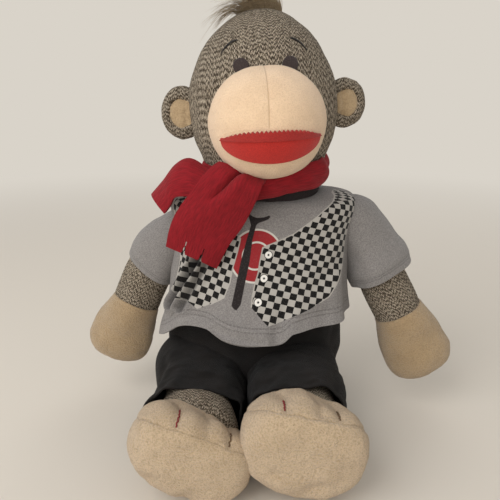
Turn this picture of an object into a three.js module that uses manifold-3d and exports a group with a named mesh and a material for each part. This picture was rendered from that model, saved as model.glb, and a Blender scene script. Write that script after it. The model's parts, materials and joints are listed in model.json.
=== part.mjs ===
// Sock monkey doll, seated: a stuffed knitted monkey in a shirt, trousers and a scarf.
// Millimetres, +Z up, the doll faces -Y. Left and right are the doll's own.

import * as THREE from 'three';
import { mergeVertices } from 'three/addons/utils/BufferGeometryUtils.js';
import Module from 'manifold-3d';

const wasm = await Module();
wasm.setup();

// Gaps and cloth
const clearance = 0.3;
const socketClearance = 1;
const skinThickness = 2;
const clothThickness = 2;
const feltThickness = 1.4;
const stitchThickness = 0.8;
const stitchWidth = 1.2;
const flatDepth = 0.5;
const overrun = 5;
const weldDistance = 0.0001;

// Body
const torsoHeight = 194.5;
const torsoHalfWidth = 66;
const torsoHalfDepth = 46;
const bodyLean = 3.5;
const seatBack = 28;
const torsoProfileShares = [
  [0, 0], [0.5, 0.0005], [0.8, 0.0015], [0.94, 0.05], [1, 0.2], [1, 0.4],
  [0.96, 0.56], [0.91, 0.74], [0.88, 0.87], [0.74, 0.945], [0.44, 0.99], [0, 1],
];

// Neck and head
const neckRise = 10.5;
const neckRadius = 22;
const headHeight = 132;
const headHalfWidth = 58.5;
const headHalfDepth = 53;
const headDrop = 5;
const headTurn = 2.5;
const headRoll = 2.5;
const headProfileShares = [
  [0, 0], [0.5, 0.015], [0.78, 0.09], [0.87, 0.174], [0.95, 0.265], [1, 0.394],
  [0.99, 0.545], [0.92, 0.652], [0.786, 0.773], [0.58, 0.879], [0.29, 0.97], [0, 1],
];

// Face
const muzzleHalfWidth = 43;
const muzzleHalfDepth = 46;
const muzzleHalfHeight = 39.5;
const muzzleForward = 42;
const muzzleRise = 44.5;
const mouthHalfWidth = 34;
const mouthCreaseDrop = 9.5;
const upperLipHeight = 7;
const lowerLipHeight = 15.5;
const mouthToothDepth = 1.8;
const mouthTeeth = 18;
const eyeRadius = 5.2;
const eyeSpread = 17;
const eyeRise = 83;
const browSpread = 24.5;
const browRise = 98;
const browHalfLength = 8;
const browArch = 5;
const browWidth = 1.3;

// Ears and hair
const earHalfWidth = 18;
const earHalfHeight = 20.5;
const earHalfDepth = 7.5;
const earOut = 63.5;
const earRise = 54;
const earRim = 6.5;
const earHollowDepth = 5;
const earFacing = 12;
const hairHalfWidth = 21;
const hairHalfDepth = 15;
const hairHeight = 34;
const hairRise = 116;
const hairProfileShares = [
  [0, 0], [0.55, 0.05], [0.85, 0.3], [1, 0.6], [0.8, 0.86], [0.4, 0.97], [0, 1],
];

// Arms
const shoulderDrop = 26.5;
const shoulderSpread = 77.5;
const armLength = 85;
const armWristRadius = 20;
const armMiddleRadius = 20.5;
const mittLength = 67;
const mittHalfWidth = 28.5;
const mittHalfDepth = 20.5;
const mittProfileShares = [
  [0, 0], [0.42, 0.015], [0.72, 0.08], [0.93, 0.24], [1, 0.45], [0.95, 0.7],
  [0.79, 0.95], [0.75, 1], [0, 1],
];
const leftArmTilt = 27;
const leftArmSwing = 6;
const rightArmTilt = 25;
const rightArmSwing = -5;

// Legs
const hipHeight = 38;
const hipForward = 18;
const hipSpread = 42;
const hipShift = -2.5;
const legLength = 92;
const legAnkleRadius = 21;
const legMiddleRadius = 24;
const leftLegSag = 0;
const rightLegSag = 8;
const footHalfWidth = 44.5;
const leftFootHalfHeight = 38;
const rightFootHalfHeight = 33.5;
const footDepth = 56;
const footBeyondAnkle = 40;
const footInset = 4;
const leftFootRoll = 8;
const rightFootRoll = 17;
const soleTilt = 38;
const soleSeamDrop = 14;
const footProfileShares = [
  [0, 0], [0.45, 0.03], [0.76, 0.14], [0.95, 0.36], [1, 0.58], [0.96, 0.8],
  [0.82, 0.93], [0.5, 0.992], [0, 1],
];
const toeLineLength = 24;
const redThreadAcrossShare = -0.35;
const brownThreadAcrossShare = 0.55;

// Shirt
const shirtHem = 84;
const necklineDrop = 8;
const collarHeight = 5.5;
const flareTop = 116;
const sideFlare = 14;
const frontFlare = 16;
const flarePower = 1.5;
const frontRise = 10;
const hemWave = 3.5;
const hemWaves = 7;
const hemScallop = 6;
const hemScallops = 4;
const sleeveLength = 50;
const sleeveRadius = 21;
const sleeveMiddleRadius = 22.5;
const leftCuffRadius = 28.5;
const rightCuffRadius = 25;
const armholeRadius = 13;
const shirtFrontFullness = 6;
const shirtSideFullness = 7;
const shirtCornerFullness = 7;
const shirtSwellDrop = 32;
const shoulderFullness = 9;
const shoulderSwellDrop = 9;

// Trousers
const waistHeight = 97;
const trouserRadius = 36;
const trouserCuffRadius = 35;
const trouserLegLength = 72;
const trouserInnerShare = 1.15;
const seatFullness = 8;
// Shares of the length, and there of the outer half width and of the height over the hip
const leftTrouserShares = [[0, 1, 1], [0.5, 0.96, 0.88], [1, 0.97, 0.75]];
const rightTrouserShares = [[0, 1.07, 1], [0.55, 0.8, 0.72], [1, 1.08, 0.56]];
const trouserFold = 1.6;
const trouserFolds = 5;
const legRaise = 8;

// Scarf
const scarfDrop = 2;
const scarfHalfWidth = 43.5;
const scarfHalfDepth = 43;
const scarfThickness = 20;
const scarfWidth = 26;
const scarfTilt = 8;
const scarfSideTilt = 6;
const scarfEndThickness = 4.5;
const scarfEndWidth = 42;
const scarfEndLength = 68;
const scarfEndSlant = 29;
const scarfEndAcross = -14;
const scarfEndTurn = 12;
const scarfEndDrop = 2;
const fringeCount = 3;
const fringeDepth = 17;
const fringeGap = 1.6;
const knotHalfWidth = 17;
const knotHalfDepth = 9;
const knotHalfHeight = 13;
const knotAcross = -13;
const knotDrop = 5;
const loopHalfWidth = 24;
const loopHalfDepth = 12;
const loopHalfHeight = 12;
const loopAcross = -50;
const loopForward = 16;
const loopSlant = 26;

// Ranges that pieces are cut clear for
const headTurnRange = 25;
const nodForward = 7;
const nodBack = 9;
const armSwingForward = 80;
const armSwingBack = 35;

// Mesh fineness
const formSides = 20;
const formSteps = 11;
const coreSides = 14;
const coreSteps = 8;
const smallSides = 14;
const smallSteps = 7;
const limbSides = 12;
const limbSteps = 3;
const trouserSides = 16;
const clothSides = 24;
const clothSteps = 12;
const shirtSteps = 30;
const trouserSteps = 5;

const looks = {
  knit: { color: '#8d8475', roughness: 0.95, metalness: 0 },
  knitDark: { color: '#6b6255', roughness: 0.95, metalness: 0 },
  stuffing: { color: '#efece4', roughness: 1, metalness: 0 },
  fleece: { color: '#e6caa6', roughness: 0.95, metalness: 0 },
  upperLip: { color: '#8f2a28', roughness: 0.9, metalness: 0 },
  lowerLip: { color: '#ab2c2a', roughness: 0.9, metalness: 0 },
  eye: { color: '#3a3333', roughness: 0.85, metalness: 0 },
  lining: { color: '#a68e6b', roughness: 0.95, metalness: 0 },
  hair: { color: '#6b5a41', roughness: 0.8, metalness: 0 },
  mitt: { color: '#b0946c', roughness: 0.95, metalness: 0 },
  plush: { color: '#c7ae8a', roughness: 0.95, metalness: 0 },
  redThread: { color: '#a3272b', roughness: 0.8, metalness: 0 },
  brownThread: { color: '#5a4634', roughness: 0.8, metalness: 0 },
  shirt: { color: '#85878b', roughness: 0.95, metalness: 0 },
  collar: { color: '#2e2222', roughness: 0.95, metalness: 0 },
  trousers: { color: '#29241f', roughness: 0.95, metalness: 0 },
  scarf: { color: '#8e1c22', roughness: 0.95, metalness: 0 },
};

// Heights that follow from the body
const neckHeight = torsoHeight + neckRise;
const shoulderHeight = torsoHeight - shoulderDrop;
const shirtNeckline = torsoHeight - necklineDrop;
const footReach = legLength + footBeyondAnkle;

const radians = THREE.MathUtils.degToRad;
const leanAt = (height) => height * Math.tan(radians(bodyLean));

// A closed geometry as a solid that can be joined and cut
function solid(geometry) {
  geometry.deleteAttribute('normal');
  geometry.deleteAttribute('uv');
  const welded = mergeVertices(geometry, weldDistance);
  const corners = welded.index.array;
  const kept = [];
  for (let i = 0; i < corners.length; i += 3) {
    const [a, b, c] = [corners[i], corners[i + 1], corners[i + 2]];
    if (a !== b && b !== c && c !== a) kept.push(a, b, c);
  }
  return new wasm.Manifold(new wasm.Mesh({
    numProp: 3,
    vertProperties: new Float32Array(welded.attributes.position.array),
    triVerts: new Uint32Array(kept),
  }));
}

const joined = (solids) => solids.reduce((whole, next) => whole.add(next));
const cutBy = (shape, cutters) => cutters.reduce((whole, cutter) => whole.subtract(cutter), shape);

function geometryOf(shape) {
  const { numProp, vertProperties, triVerts } = shape.getMesh();
  const geometry = new THREE.BufferGeometry();
  const positions = new Float32Array((vertProperties.length / numProp) * 3);
  for (let i = 0; i < positions.length; i += 1) {
    positions[i] = vertProperties[Math.floor(i / 3) * numProp + (i % 3)];
  }
  geometry.setAttribute('position', new THREE.BufferAttribute(positions, 3));
  geometry.setIndex(new THREE.BufferAttribute(new Uint32Array(triVerts), 1));
  geometry.computeVertexNormals();
  return geometry;
}

function piece(name, shape, look) {
  const mesh = new THREE.Mesh(geometryOf(shape), new THREE.MeshStandardMaterial(look));
  mesh.name = name;
  return mesh;
}

// Moves every point of a geometry by a rule
function shaped(geometry, rule) {
  const positions = geometry.attributes.position;
  const point = new THREE.Vector3();
  for (let i = 0; i < positions.count; i += 1) {
    point.fromBufferAttribute(positions, i);
    rule(point);
    positions.setXYZ(i, point.x, point.y, point.z);
  }
  return geometry;
}

// The same rule on a solid, after its cuts
function shapedSolid(shape, rule) {
  return solid(shaped(geometryOf(shape), rule));
}

// A round form on the z axis, from zero up to its height. The profile is a smooth line through
// points that are shares of the half width and of the height, and grow moves the surface out.
function roundForm(
  profileShares,
  halfWidth,
  halfDepth,
  height,
  grow = 0,
  sides = formSides,
  steps = formSteps,
) {
  const line = new THREE.SplineCurve(profileShares.map(([across, up]) => new THREE.Vector2(across, up)));
  const points = line.getSpacedPoints(steps);
  points.forEach((point) => {
    point.x = Math.max(point.x, 0);
  });
  const geometry = new THREE.LatheGeometry(points, sides);
  geometry.rotateX(Math.PI / 2);
  geometry.scale(halfWidth + grow, halfDepth + grow, height + 2 * grow);
  geometry.translate(0, 0, -grow);
  return geometry;
}

function ellipsoid(halfWidth, halfDepth, halfHeight, sides = formSides, steps = formSteps) {
  const geometry = new THREE.SphereGeometry(1, sides, steps);
  geometry.rotateX(Math.PI / 2);
  geometry.scale(halfWidth, halfDepth, halfHeight);
  return geometry;
}

// A limb that hangs down from a ball round its joint: flat end at -length, ball at zero
function limbForm(length, endRadius, middleRadius, ballRadius, sides = limbSides, steps = limbSteps) {
  const side = new THREE.SplineCurve([
    new THREE.Vector2(endRadius, -length),
    new THREE.Vector2(middleRadius, -length / 2),
    new THREE.Vector2(ballRadius, 0),
  ]);
  const ball = new THREE.EllipseCurve(0, 0, ballRadius, ballRadius, 0, Math.PI / 2);
  const end = new THREE.Vector2(0, -length);
  const ballPoints = ball.getPoints(steps).slice(1);
  ballPoints.forEach((point) => {
    point.x = Math.max(point.x, 0);
  });
  const geometry = new THREE.LatheGeometry([end, ...side.getPoints(steps), ...ballPoints], sides);
  geometry.rotateX(Math.PI / 2);
  return geometry;
}

function block(from, to) {
  const size = new THREE.Vector3().subVectors(to, from);
  const middle = new THREE.Vector3().addVectors(from, to).multiplyScalar(1 / 2);
  const geometry = new THREE.BoxGeometry(size.x, size.y, size.z);
  geometry.translate(middle.x, middle.y, middle.z);
  return solid(geometry);
}

// An outline drawn from the front, as a bar that runs forward from y = 0
function frontBar(outline, reach) {
  const settings = { depth: reach, bevelEnabled: false, curveSegments: smallSides };
  const geometry = new THREE.ExtrudeGeometry(outline, settings);
  geometry.rotateX(Math.PI / 2);
  return solid(geometry);
}

// The space under a height, as wide as the doll
const dollReach = 2 * (shoulderSpread + armLength + mittLength);
const below = (height) => block(
  new THREE.Vector3(-dollReach, -dollReach, height - dollReach),
  new THREE.Vector3(dollReach, dollReach, height),
);
const above = (height) => block(
  new THREE.Vector3(-dollReach, -dollReach, height),
  new THREE.Vector3(dollReach, dollReach, height + dollReach),
);

// Body forms
const seatLift = clearance + clothThickness - flatDepth;

function torsoForm(grow, sides = clothSides, steps = clothSteps) {
  const size = [torsoHalfWidth, torsoHalfDepth, torsoHeight];
  const form = roundForm(torsoProfileShares, ...size, grow, sides, steps);
  form.translate(0, 0, seatLift);
  return shaped(form, (point) => {
    point.x += leanAt(point.z);
  });
}

// What differs between the doll's two sides, for the shoulders, the hips and the face
const bodySides = [
  {
    name: 'left',
    side: 1,
    armTilt: leftArmTilt,
    armSwing: leftArmSwing,
    cuffRadius: leftCuffRadius,
    footRoll: leftFootRoll,
    footHalfHeight: leftFootHalfHeight,
    legSag: leftLegSag,
    trouserShares: leftTrouserShares,
  },
  {
    name: 'right',
    side: -1,
    armTilt: rightArmTilt,
    armSwing: rightArmSwing,
    cuffRadius: rightCuffRadius,
    footRoll: rightFootRoll,
    footHalfHeight: rightFootHalfHeight,
    legSag: rightLegSag,
    trouserShares: rightTrouserShares,
  },
];

const shoulderPlace = ({ side }) => new THREE.Vector3(
  leanAt(shoulderHeight) + side * shoulderSpread,
  0,
  shoulderHeight,
);
const hipPlace = ({ side }) => new THREE.Vector3(hipShift + side * hipSpread, -hipForward, hipHeight);
const neckPlace = new THREE.Vector3(leanAt(neckHeight), 0, neckHeight);

function ballAt(place, radius) {
  const geometry = ellipsoid(radius, radius, radius);
  geometry.translate(place.x, place.y, place.z);
  return solid(geometry);
}

const neckSocket = ballAt(neckPlace, neckRadius + socketClearance);
const shoulderSockets = bodySides.map(
  (bodySide) => ballAt(shoulderPlace(bodySide), sleeveRadius + socketClearance),
);

// The room that both legs sweep from a little raised to straight down
function legPath(grow) {
  const radius = trouserRadius + socketClearance + grow;
  const rise = radians(legRaise);
  const outline = new THREE.Shape();
  outline.moveTo(radius, -dollReach);
  outline.lineTo(radius, 0);
  outline.absarc(0, 0, radius, 0, Math.PI / 2 - rise, false);
  outline.lineTo(
    radius * Math.sin(rise) - dollReach * Math.cos(rise),
    radius * Math.cos(rise) + dollReach * Math.sin(rise),
  );
  outline.lineTo(-dollReach, -dollReach);
  const settings = { depth: 2 * dollReach, bevelEnabled: false, curveSegments: smallSteps };
  const geometry = new THREE.ExtrudeGeometry(outline, settings);
  geometry.translate(0, 0, -dollReach);
  geometry.rotateY(Math.PI / 2);
  geometry.rotateX(Math.PI / 2);
  geometry.translate(0, -hipForward, hipHeight);
  return solid(geometry);
}

const legRoom = legPath(0);
const bodyRoom = legPath(clothThickness + clearance);

// Torso skin, open at the neck, the armholes and the legs, and its stuffing
function torsoPieces() {
  const sockets = [neckSocket, ...shoulderSockets, bodyRoom];
  const floor = seatLift + flatDepth;
  const inside = solid(torsoForm(-skinThickness, coreSides, coreSteps));
  const filling = solid(torsoForm(-skinThickness - clearance, coreSides, coreSteps));
  const skin = cutBy(solid(torsoForm(0)), [inside, below(floor), ...sockets]);
  const core = cutBy(filling, [below(floor + skinThickness), ...sockets]);
  return [piece('torso', skin, looks.knit), piece('torso_stuffing', core, looks.stuffing)];
}

// An outward swell between two heights, widest half way
function swell(height, from, to) {
  return Math.sin(Math.PI * THREE.MathUtils.clamp((height - from) / (to - from), 0, 1));
}

// Shirt body: the torso's form in cloth, full at the chest and shoulders, flared and wavy to the hem
function shirtRule(point) {
  const share = THREE.MathUtils.clamp((flareTop - point.z) / (flareTop - shirtHem), 0, 1);
  const across = point.x - leanAt(point.z);
  const angle = Math.atan2(across, -point.y);
  const facing = Math.max(Math.cos(angle), 0) ** 2;
  const wave = Math.cos(hemWaves * angle) * hemWave * share;
  const flare = (sideFlare + frontFlare * facing) * share ** flarePower + wave * share;
  const sideSwell = shirtSideFullness * swell(point.z, shirtHem, shoulderHeight - shirtSwellDrop)
    + shoulderFullness * swell(point.z, shoulderHeight - shoulderSwellDrop, torsoHeight);
  const frontSwell = shirtFrontFullness * swell(point.z, shirtHem, torsoHeight);
  const cornerSwell = shirtCornerFullness * swell(point.z, shirtHem, shoulderHeight) * Math.sin(2 * angle) ** 2;
  const out = flare + cornerSwell + sideSwell * Math.sin(angle) ** 2 + frontSwell * Math.cos(angle) ** 2;
  const scallop = hemScallop * Math.max(Math.cos(hemScallops * angle), 0);
  point.x += out * Math.sin(angle);
  point.y -= out * Math.cos(angle);
  point.z += (frontRise - scallop) * facing * share ** 2;
}

const clothBase = clearance;
const clothTop = clearance + clothThickness;

function shirtPieces() {
  const blank = cutBy(
    solid(torsoForm(clothTop, clothSides, shirtSteps)),
    [solid(torsoForm(clothBase, clothSides, shirtSteps)), below(shirtHem), above(shirtNeckline)],
  );
  const shirt = cutBy(shapedSolid(blank, shirtRule), shoulderSockets);
  const collarFrom = shirtNeckline + clearance;
  const collar = cutBy(
    solid(torsoForm(clothTop)),
    [solid(torsoForm(clothBase)), below(collarFrom), above(collarFrom + collarHeight), neckSocket],
  );
  return [piece('shirt_body', shirt, looks.shirt), piece('shirt_collar', collar, looks.collar)];
}

// Trouser seat: cloth round the hips that also lines the space over the legs
function trouserSeat() {
  const hollow = cutBy(solid(torsoForm(clothBase)), [legPath(clothThickness), below(clothThickness)]);
  const shell = cutBy(solid(torsoForm(clothTop)), [hollow, below(0), above(waistHeight), legRoom]);
  const full = shapedSolid(shell, (point) => {
    const across = point.x - leanAt(point.z);
    point.x += (across / torsoHalfWidth) * seatFullness * swell(point.z, 0, waistHeight);
  });
  return piece('trouser_seat', full, looks.trousers);
}

// Head pieces, placed from the neck joint
function headForm(grow, sides = formSides, steps = formSteps) {
  const form = roundForm(headProfileShares, headHalfWidth, headHalfDepth, headHeight, grow, sides, steps);
  form.translate(0, 0, -headDrop);
  return form;
}

function muzzleForm(grow) {
  const form = ellipsoid(muzzleHalfWidth + grow, muzzleHalfDepth + grow, muzzleHalfHeight + grow);
  form.translate(0, -muzzleForward, muzzleRise);
  return form;
}

// A flat piece with an outline drawn from the front, lying on a form
function patchOn(outline, form, thickness, reach) {
  return frontBar(outline, reach)
    .intersect(solid(form(clearance + thickness)))
    .subtract(solid(form(clearance)));
}

function upperLipOutline() {
  const crease = muzzleRise - mouthCreaseDrop;
  const outline = new THREE.Shape();
  outline.moveTo(-mouthHalfWidth, crease + clearance / 2);
  for (let tooth = 0; tooth <= 2 * mouthTeeth; tooth += 1) {
    const across = tooth / mouthTeeth - 1;
    const arch = upperLipHeight * (1 - across ** 4) - (tooth % 2) * mouthToothDepth * (1 - across ** 2);
    const inside = tooth > 0 && tooth < 2 * mouthTeeth;
    if (inside) outline.lineTo(across * mouthHalfWidth, crease + clearance + arch);
  }
  outline.lineTo(mouthHalfWidth, crease + clearance / 2);
  return outline;
}

function lowerLipOutline() {
  const crease = muzzleRise - mouthCreaseDrop;
  const outline = new THREE.Shape();
  const top = crease - clearance / 2;
  outline.absellipse(0, top, mouthHalfWidth, lowerLipHeight, Math.PI, 2 * Math.PI, false);
  return outline;
}

function eyeOutline(across) {
  const outline = new THREE.Shape();
  outline.absellipse(across, eyeRise, eyeRadius, eyeRadius, 0, 2 * Math.PI, false);
  return outline;
}

// A thin arched brow, higher towards the middle of the face
function browOutline(side) {
  const outline = new THREE.Shape();
  const line = new THREE.QuadraticBezierCurve(
    new THREE.Vector2(side * (browSpread + browHalfLength), browRise - browArch / 2),
    new THREE.Vector2(side * browSpread, browRise + browArch),
    new THREE.Vector2(side * (browSpread - browHalfLength), browRise + browArch / 2),
  );
  const upper = line.getPoints(smallSteps);
  const lower = upper.map((point) => new THREE.Vector2(point.x, point.y - browWidth)).reverse();
  outline.setFromPoints([...upper, ...lower]);
  return outline;
}

function earPieces({ name, side }) {
  const place = (geometry) => {
    geometry.rotateZ(side * radians(earFacing));
    geometry.translate(side * earOut, 0, earRise);
    return geometry;
  };
  const ear = solid(place(ellipsoid(earHalfWidth, earHalfDepth, earHalfHeight, smallSides, smallSteps)));
  const hollow = (gap) => {
    const form = ellipsoid(
      earHalfWidth - earRim - gap,
      earHollowDepth - gap,
      earHalfHeight - earRim - gap,
      smallSides,
      smallSteps,
    );
    form.translate(0, -earHalfDepth, 0);
    return form;
  };
  const head = solid(headForm(clearance));
  const front = new THREE.BoxGeometry(2 * earHalfWidth, 2 * earHalfDepth, 2 * earHalfHeight);
  front.translate(0, -2 * earHalfDepth - skinThickness / 2 + clearance, 0);
  const rim = cutBy(ear, [solid(place(hollow(0))), head]);
  const lining = cutBy(solid(place(hollow(clearance))), [solid(place(front)), head]);
  return [piece(`ear_${name}`, rim, looks.knit), piece(`ear_lining_${name}`, lining, looks.lining)];
}

function hairTuft() {
  const size = [hairHalfWidth, hairHalfDepth, hairHeight];
  const form = roundForm(hairProfileShares, ...size, 0, smallSides, smallSteps);
  form.translate(0, 0, hairRise);
  return piece('hair_tuft', solid(form).subtract(solid(headForm(clearance))), looks.hair);
}

function headGroup() {
  const group = new THREE.Group();
  group.position.copy(neckPlace);
  group.rotation.set(0, -radians(headRoll), radians(headTurn));
  const neckBall = ballAt(new THREE.Vector3(), neckRadius + socketClearance);
  const inside = solid(headForm(-skinThickness, coreSides, coreSteps));
  const skin = cutBy(solid(headForm(0)), [inside, neckBall]);
  const core = solid(headForm(-skinThickness - clearance, coreSides, coreSteps)).subtract(neckBall);
  const muzzle = solid(muzzleForm(0)).subtract(solid(headForm(clearance)));
  const onHead = (outline) => patchOn(outline, headForm, feltThickness, headHalfDepth + overrun)
    .subtract(solid(muzzleForm(clearance)));
  const muzzleReach = muzzleForward + muzzleHalfDepth + overrun;
  const onMuzzle = (outline) => patchOn(outline, muzzleForm, feltThickness, muzzleReach)
    .subtract(solid(headForm(clearance)));
  group.add(
    piece('head', skin, looks.knit),
    piece('head_stuffing', core, looks.stuffing),
    piece('muzzle', muzzle, looks.fleece),
    piece('upper_lip', onMuzzle(upperLipOutline()), looks.upperLip),
    piece('lower_lip', onMuzzle(lowerLipOutline()), looks.lowerLip),
    hairTuft(),
  );
  for (const bodySide of bodySides) {
    group.add(
      piece(`eye_${bodySide.name}`, onHead(eyeOutline(bodySide.side * eyeSpread)), looks.eye),
      piece(`brow_${bodySide.name}`, onHead(browOutline(bodySide.side)), looks.eye),
      ...earPieces(bodySide),
    );
  }
  return group;
}

// Neck: the gathered ball that the head turns and nods on
function neckPiece() {
  return piece('neck', ballAt(neckPlace, neckRadius), looks.knit);
}

// Arms, drawn hanging straight down from the shoulder joint
const sleeveForm = ({ cuffRadius }, inset, length) => limbForm(
  length,
  cuffRadius - inset,
  sleeveMiddleRadius - inset,
  sleeveRadius - inset,
);

function armGroup(shoulder) {
  const group = new THREE.Group();
  group.position.copy(shoulderPlace(shoulder));
  group.rotation.set(-radians(shoulder.armSwing), -shoulder.side * radians(shoulder.armTilt), 0, 'XYZ');
  const ballRadius = sleeveRadius - clothThickness - socketClearance;
  const armForm = (inset, length) => limbForm(
    length,
    armWristRadius - inset,
    armMiddleRadius - inset,
    ballRadius - inset,
  );
  const tip = armLength + mittLength;
  const skin = solid(armForm(0, armLength)).subtract(solid(armForm(skinThickness, armLength + overrun)));
  const core = solid(armForm(skinThickness + clearance, armLength));
  const mittSize = [mittHalfWidth, mittHalfDepth, mittLength - clearance];
  const mitt = roundForm(mittProfileShares, ...mittSize, 0, limbSides, coreSteps);
  mitt.translate(0, 0, -tip);
  const stubReach = sleeveRadius + overrun;
  const stub = new THREE.CylinderGeometry(armholeRadius, armholeRadius, stubReach, limbSides);
  stub.rotateZ(Math.PI / 2);
  stub.translate(-shoulder.side * stubReach / 2, 0, 0);
  const sleeve = cutBy(
    solid(sleeveForm(shoulder, 0, sleeveLength)),
    [solid(sleeveForm(shoulder, clothThickness, sleeveLength + overrun)), solid(stub)],
  );
  group.add(
    piece(`arm_${shoulder.name}`, skin, looks.knit),
    piece(`arm_stuffing_${shoulder.name}`, core, looks.stuffing),
    piece(`mitt_${shoulder.name}`, solid(mitt), looks.mitt),
    piece(`sleeve_${shoulder.name}`, sleeve, looks.shirt),
  );
  return group;
}

// The values of a table's rows at a share of its length, straight between the rows
function sharesAt(rows, share) {
  const next = Math.max(1, rows.findIndex(([at]) => at >= share));
  const [low, high] = [rows[next - 1], rows[next]];
  const part = (share - low[0]) / (high[0] - low[0]);
  return low.slice(1).map((value, i) => THREE.MathUtils.lerp(value, high[i + 1], part));
}

// Legs, drawn running forward from the hip joint
const forwardLimb = (geometry) => geometry.rotateX(-Math.PI / 2);

// From a foot's own frame, where it starts at zero and runs forward, to the hip joint's
function placeFoot({ side, footRoll, footHalfHeight }, geometry) {
  geometry.rotateY(radians(footRoll));
  geometry.translate(-side * footInset, footDepth - footReach, footHalfHeight - flatDepth - hipHeight);
  return geometry;
}

function footForm(hip, grow, sides = formSides, steps = coreSteps) {
  const size = [footHalfWidth, hip.footHalfHeight, footDepth];
  const form = roundForm(footProfileShares, ...size, grow, sides, steps);
  form.rotateX(Math.PI / 2);
  return placeFoot(hip, form);
}

// The other leg's side of the doll, seen from a hip
function acrossMiddle({ side }) {
  const near = -side * (hipSpread - clearance);
  const far = near - side * dollReach;
  return block(
    new THREE.Vector3(Math.min(near, far), -dollReach, -dollReach),
    new THREE.Vector3(Math.max(near, far), dollReach, dollReach),
  );
}

// A slab that leans back from the sole's seam line, down towards the heel
function soleSlab(hip, from, to) {
  const thickness = to - from;
  const geometry = new THREE.BoxGeometry(4 * footHalfWidth, 4 * footDepth, thickness);
  geometry.translate(0, 0, from + thickness / 2);
  geometry.rotateX(-radians(soleTilt));
  geometry.rotateY(radians(hip.footRoll));
  geometry.translate(0, -footReach, 2 * hip.footHalfHeight - soleSeamDrop - hipHeight);
  return solid(geometry);
}

const toeLines = [
  { name: 'toe_thread_red', acrossShare: redThreadAcrossShare, look: looks.redThread },
  { name: 'toe_thread_brown', acrossShare: brownThreadAcrossShare, look: looks.brownThread },
];

// A line of thread over the top edge of the sole, in front of the toes
function toeThread(hip, line, upper) {
  const bar = new THREE.BoxGeometry(stitchWidth, 2 * toeLineLength, 2 * hip.footHalfHeight);
  bar.translate(line.acrossShare * footHalfWidth, -footDepth, hip.footHalfHeight);
  placeFoot(hip, bar);
  const outer = solid(footForm(hip, clearance + stitchThickness));
  const shell = outer.subtract(solid(footForm(hip, clearance)));
  return piece(`${line.name}_${hip.name}`, shell.intersect(solid(bar)).intersect(upper), line.look);
}

function legGroup(hip) {
  const group = new THREE.Group();
  group.position.copy(hipPlace(hip));
  const ballRadius = trouserRadius - clothThickness - socketClearance;
  const legForm = (inset) => shaped(forwardLimb(limbForm(
    legLength,
    legAnkleRadius - inset,
    legMiddleRadius - inset,
    ballRadius - inset,
  )), (point) => {
    point.z -= hip.legSag * THREE.MathUtils.clamp(-point.y / legLength, 0, 1);
  });
  const foot = cutBy(solid(footForm(hip, 0)), [below(-hipHeight), acrossMiddle(hip)]);
  const grownFoot = solid(footForm(hip, 2 * clearance, coreSides, coreSteps));
  const upperRoom = soleSlab(hip, clearance / 2, 4 * hip.footHalfHeight);
  const lowerRoom = soleSlab(hip, -4 * hip.footHalfHeight, -clearance / 2);
  const skin = cutBy(solid(legForm(0)), [solid(legForm(skinThickness)), grownFoot]);
  const core = solid(legForm(skinThickness + clearance)).subtract(grownFoot);
  const foldRule = (point) => {
    const share = THREE.MathUtils.clamp(-point.y / trouserLegLength, 0, 1);
    const angle = Math.atan2(point.z, point.x);
    const fold = Math.cos(trouserFolds * angle + hip.side) * trouserFold * share;
    const [outerShare, topShare] = sharesAt(hip.trouserShares, share);
    point.x *= point.x * hip.side > 0 ? outerShare : trouserInnerShare;
    point.x += fold * Math.cos(angle) * Math.abs(Math.cos(angle));
    point.z *= point.z > 0 ? topShare : 1;
    point.z += fold * Math.sin(angle) * share;
  };
  const trouserForm = (inset, length) => {
    const radius = trouserRadius - inset;
    const form = limbForm(length, trouserCuffRadius - inset, radius, radius, trouserSides, trouserSteps);
    return shaped(forwardLimb(form), foldRule);
  };
  const holeReach = trouserRadius + overrun;
  const rootHole = new THREE.CylinderGeometry(armholeRadius, armholeRadius, holeReach, limbSides);
  rootHole.translate(0, holeReach / 2, 0);
  const trouserLeg = cutBy(solid(trouserForm(0, trouserLegLength)), [
    solid(trouserForm(clothThickness, trouserLegLength + overrun)),
    solid(rootHole),
    below(clearance - hipHeight),
    grownFoot,
  ]);
  group.add(
    piece(`leg_${hip.name}`, skin, looks.knit),
    piece(`leg_stuffing_${hip.name}`, core, looks.stuffing),
    piece(`foot_upper_${hip.name}`, foot.intersect(upperRoom), looks.plush),
    piece(`foot_sole_${hip.name}`, foot.intersect(lowerRoom), looks.plush),
    piece(`trouser_leg_${hip.name}`, trouserLeg, looks.trousers),
    ...toeLines.map((line) => toeThread(hip, line, upperRoom)),
  );
  return group;
}

// The room that the head takes over the scarf as it nods and turns
function headRoom() {
  const nod = radians(Math.max(nodForward, nodBack));
  const bowl = roundForm(headProfileShares, headHalfWidth, headHalfWidth, headHeight, socketClearance);
  bowl.translate(0, 0, -headDrop);
  shaped(bowl, (point) => {
    const out = Math.hypot(point.x, point.y);
    const wider = 1 + (Math.max(point.z, 0) * Math.sin(nod)) / Math.max(out, neckRadius);
    point.x *= wider;
    point.y *= wider;
    point.z -= out * Math.sin(nod);
  });
  bowl.translate(neckPlace.x, neckPlace.y, neckPlace.z);
  return solid(bowl);
}

// The room that the muzzle sweeps over the scarf
function muzzleRoom() {
  const steps = 4;
  const turns = [];
  for (let step = 0; step <= steps; step += 1) {
    const muzzle = ellipsoid(
      muzzleHalfWidth + 2 * socketClearance,
      muzzleHalfDepth + 2 * socketClearance,
      muzzleHalfHeight + 2 * socketClearance,
      smallSides,
      smallSteps,
    );
    muzzle.translate(0, -muzzleForward, muzzleRise);
    muzzle.rotateX(radians(nodForward));
    muzzle.rotateZ(radians(headTurnRange) * ((2 * step) / steps - 1));
    muzzle.translate(neckPlace.x, neckPlace.y, neckPlace.z);
    turns.push(solid(muzzle));
  }
  return joined(turns);
}

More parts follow.
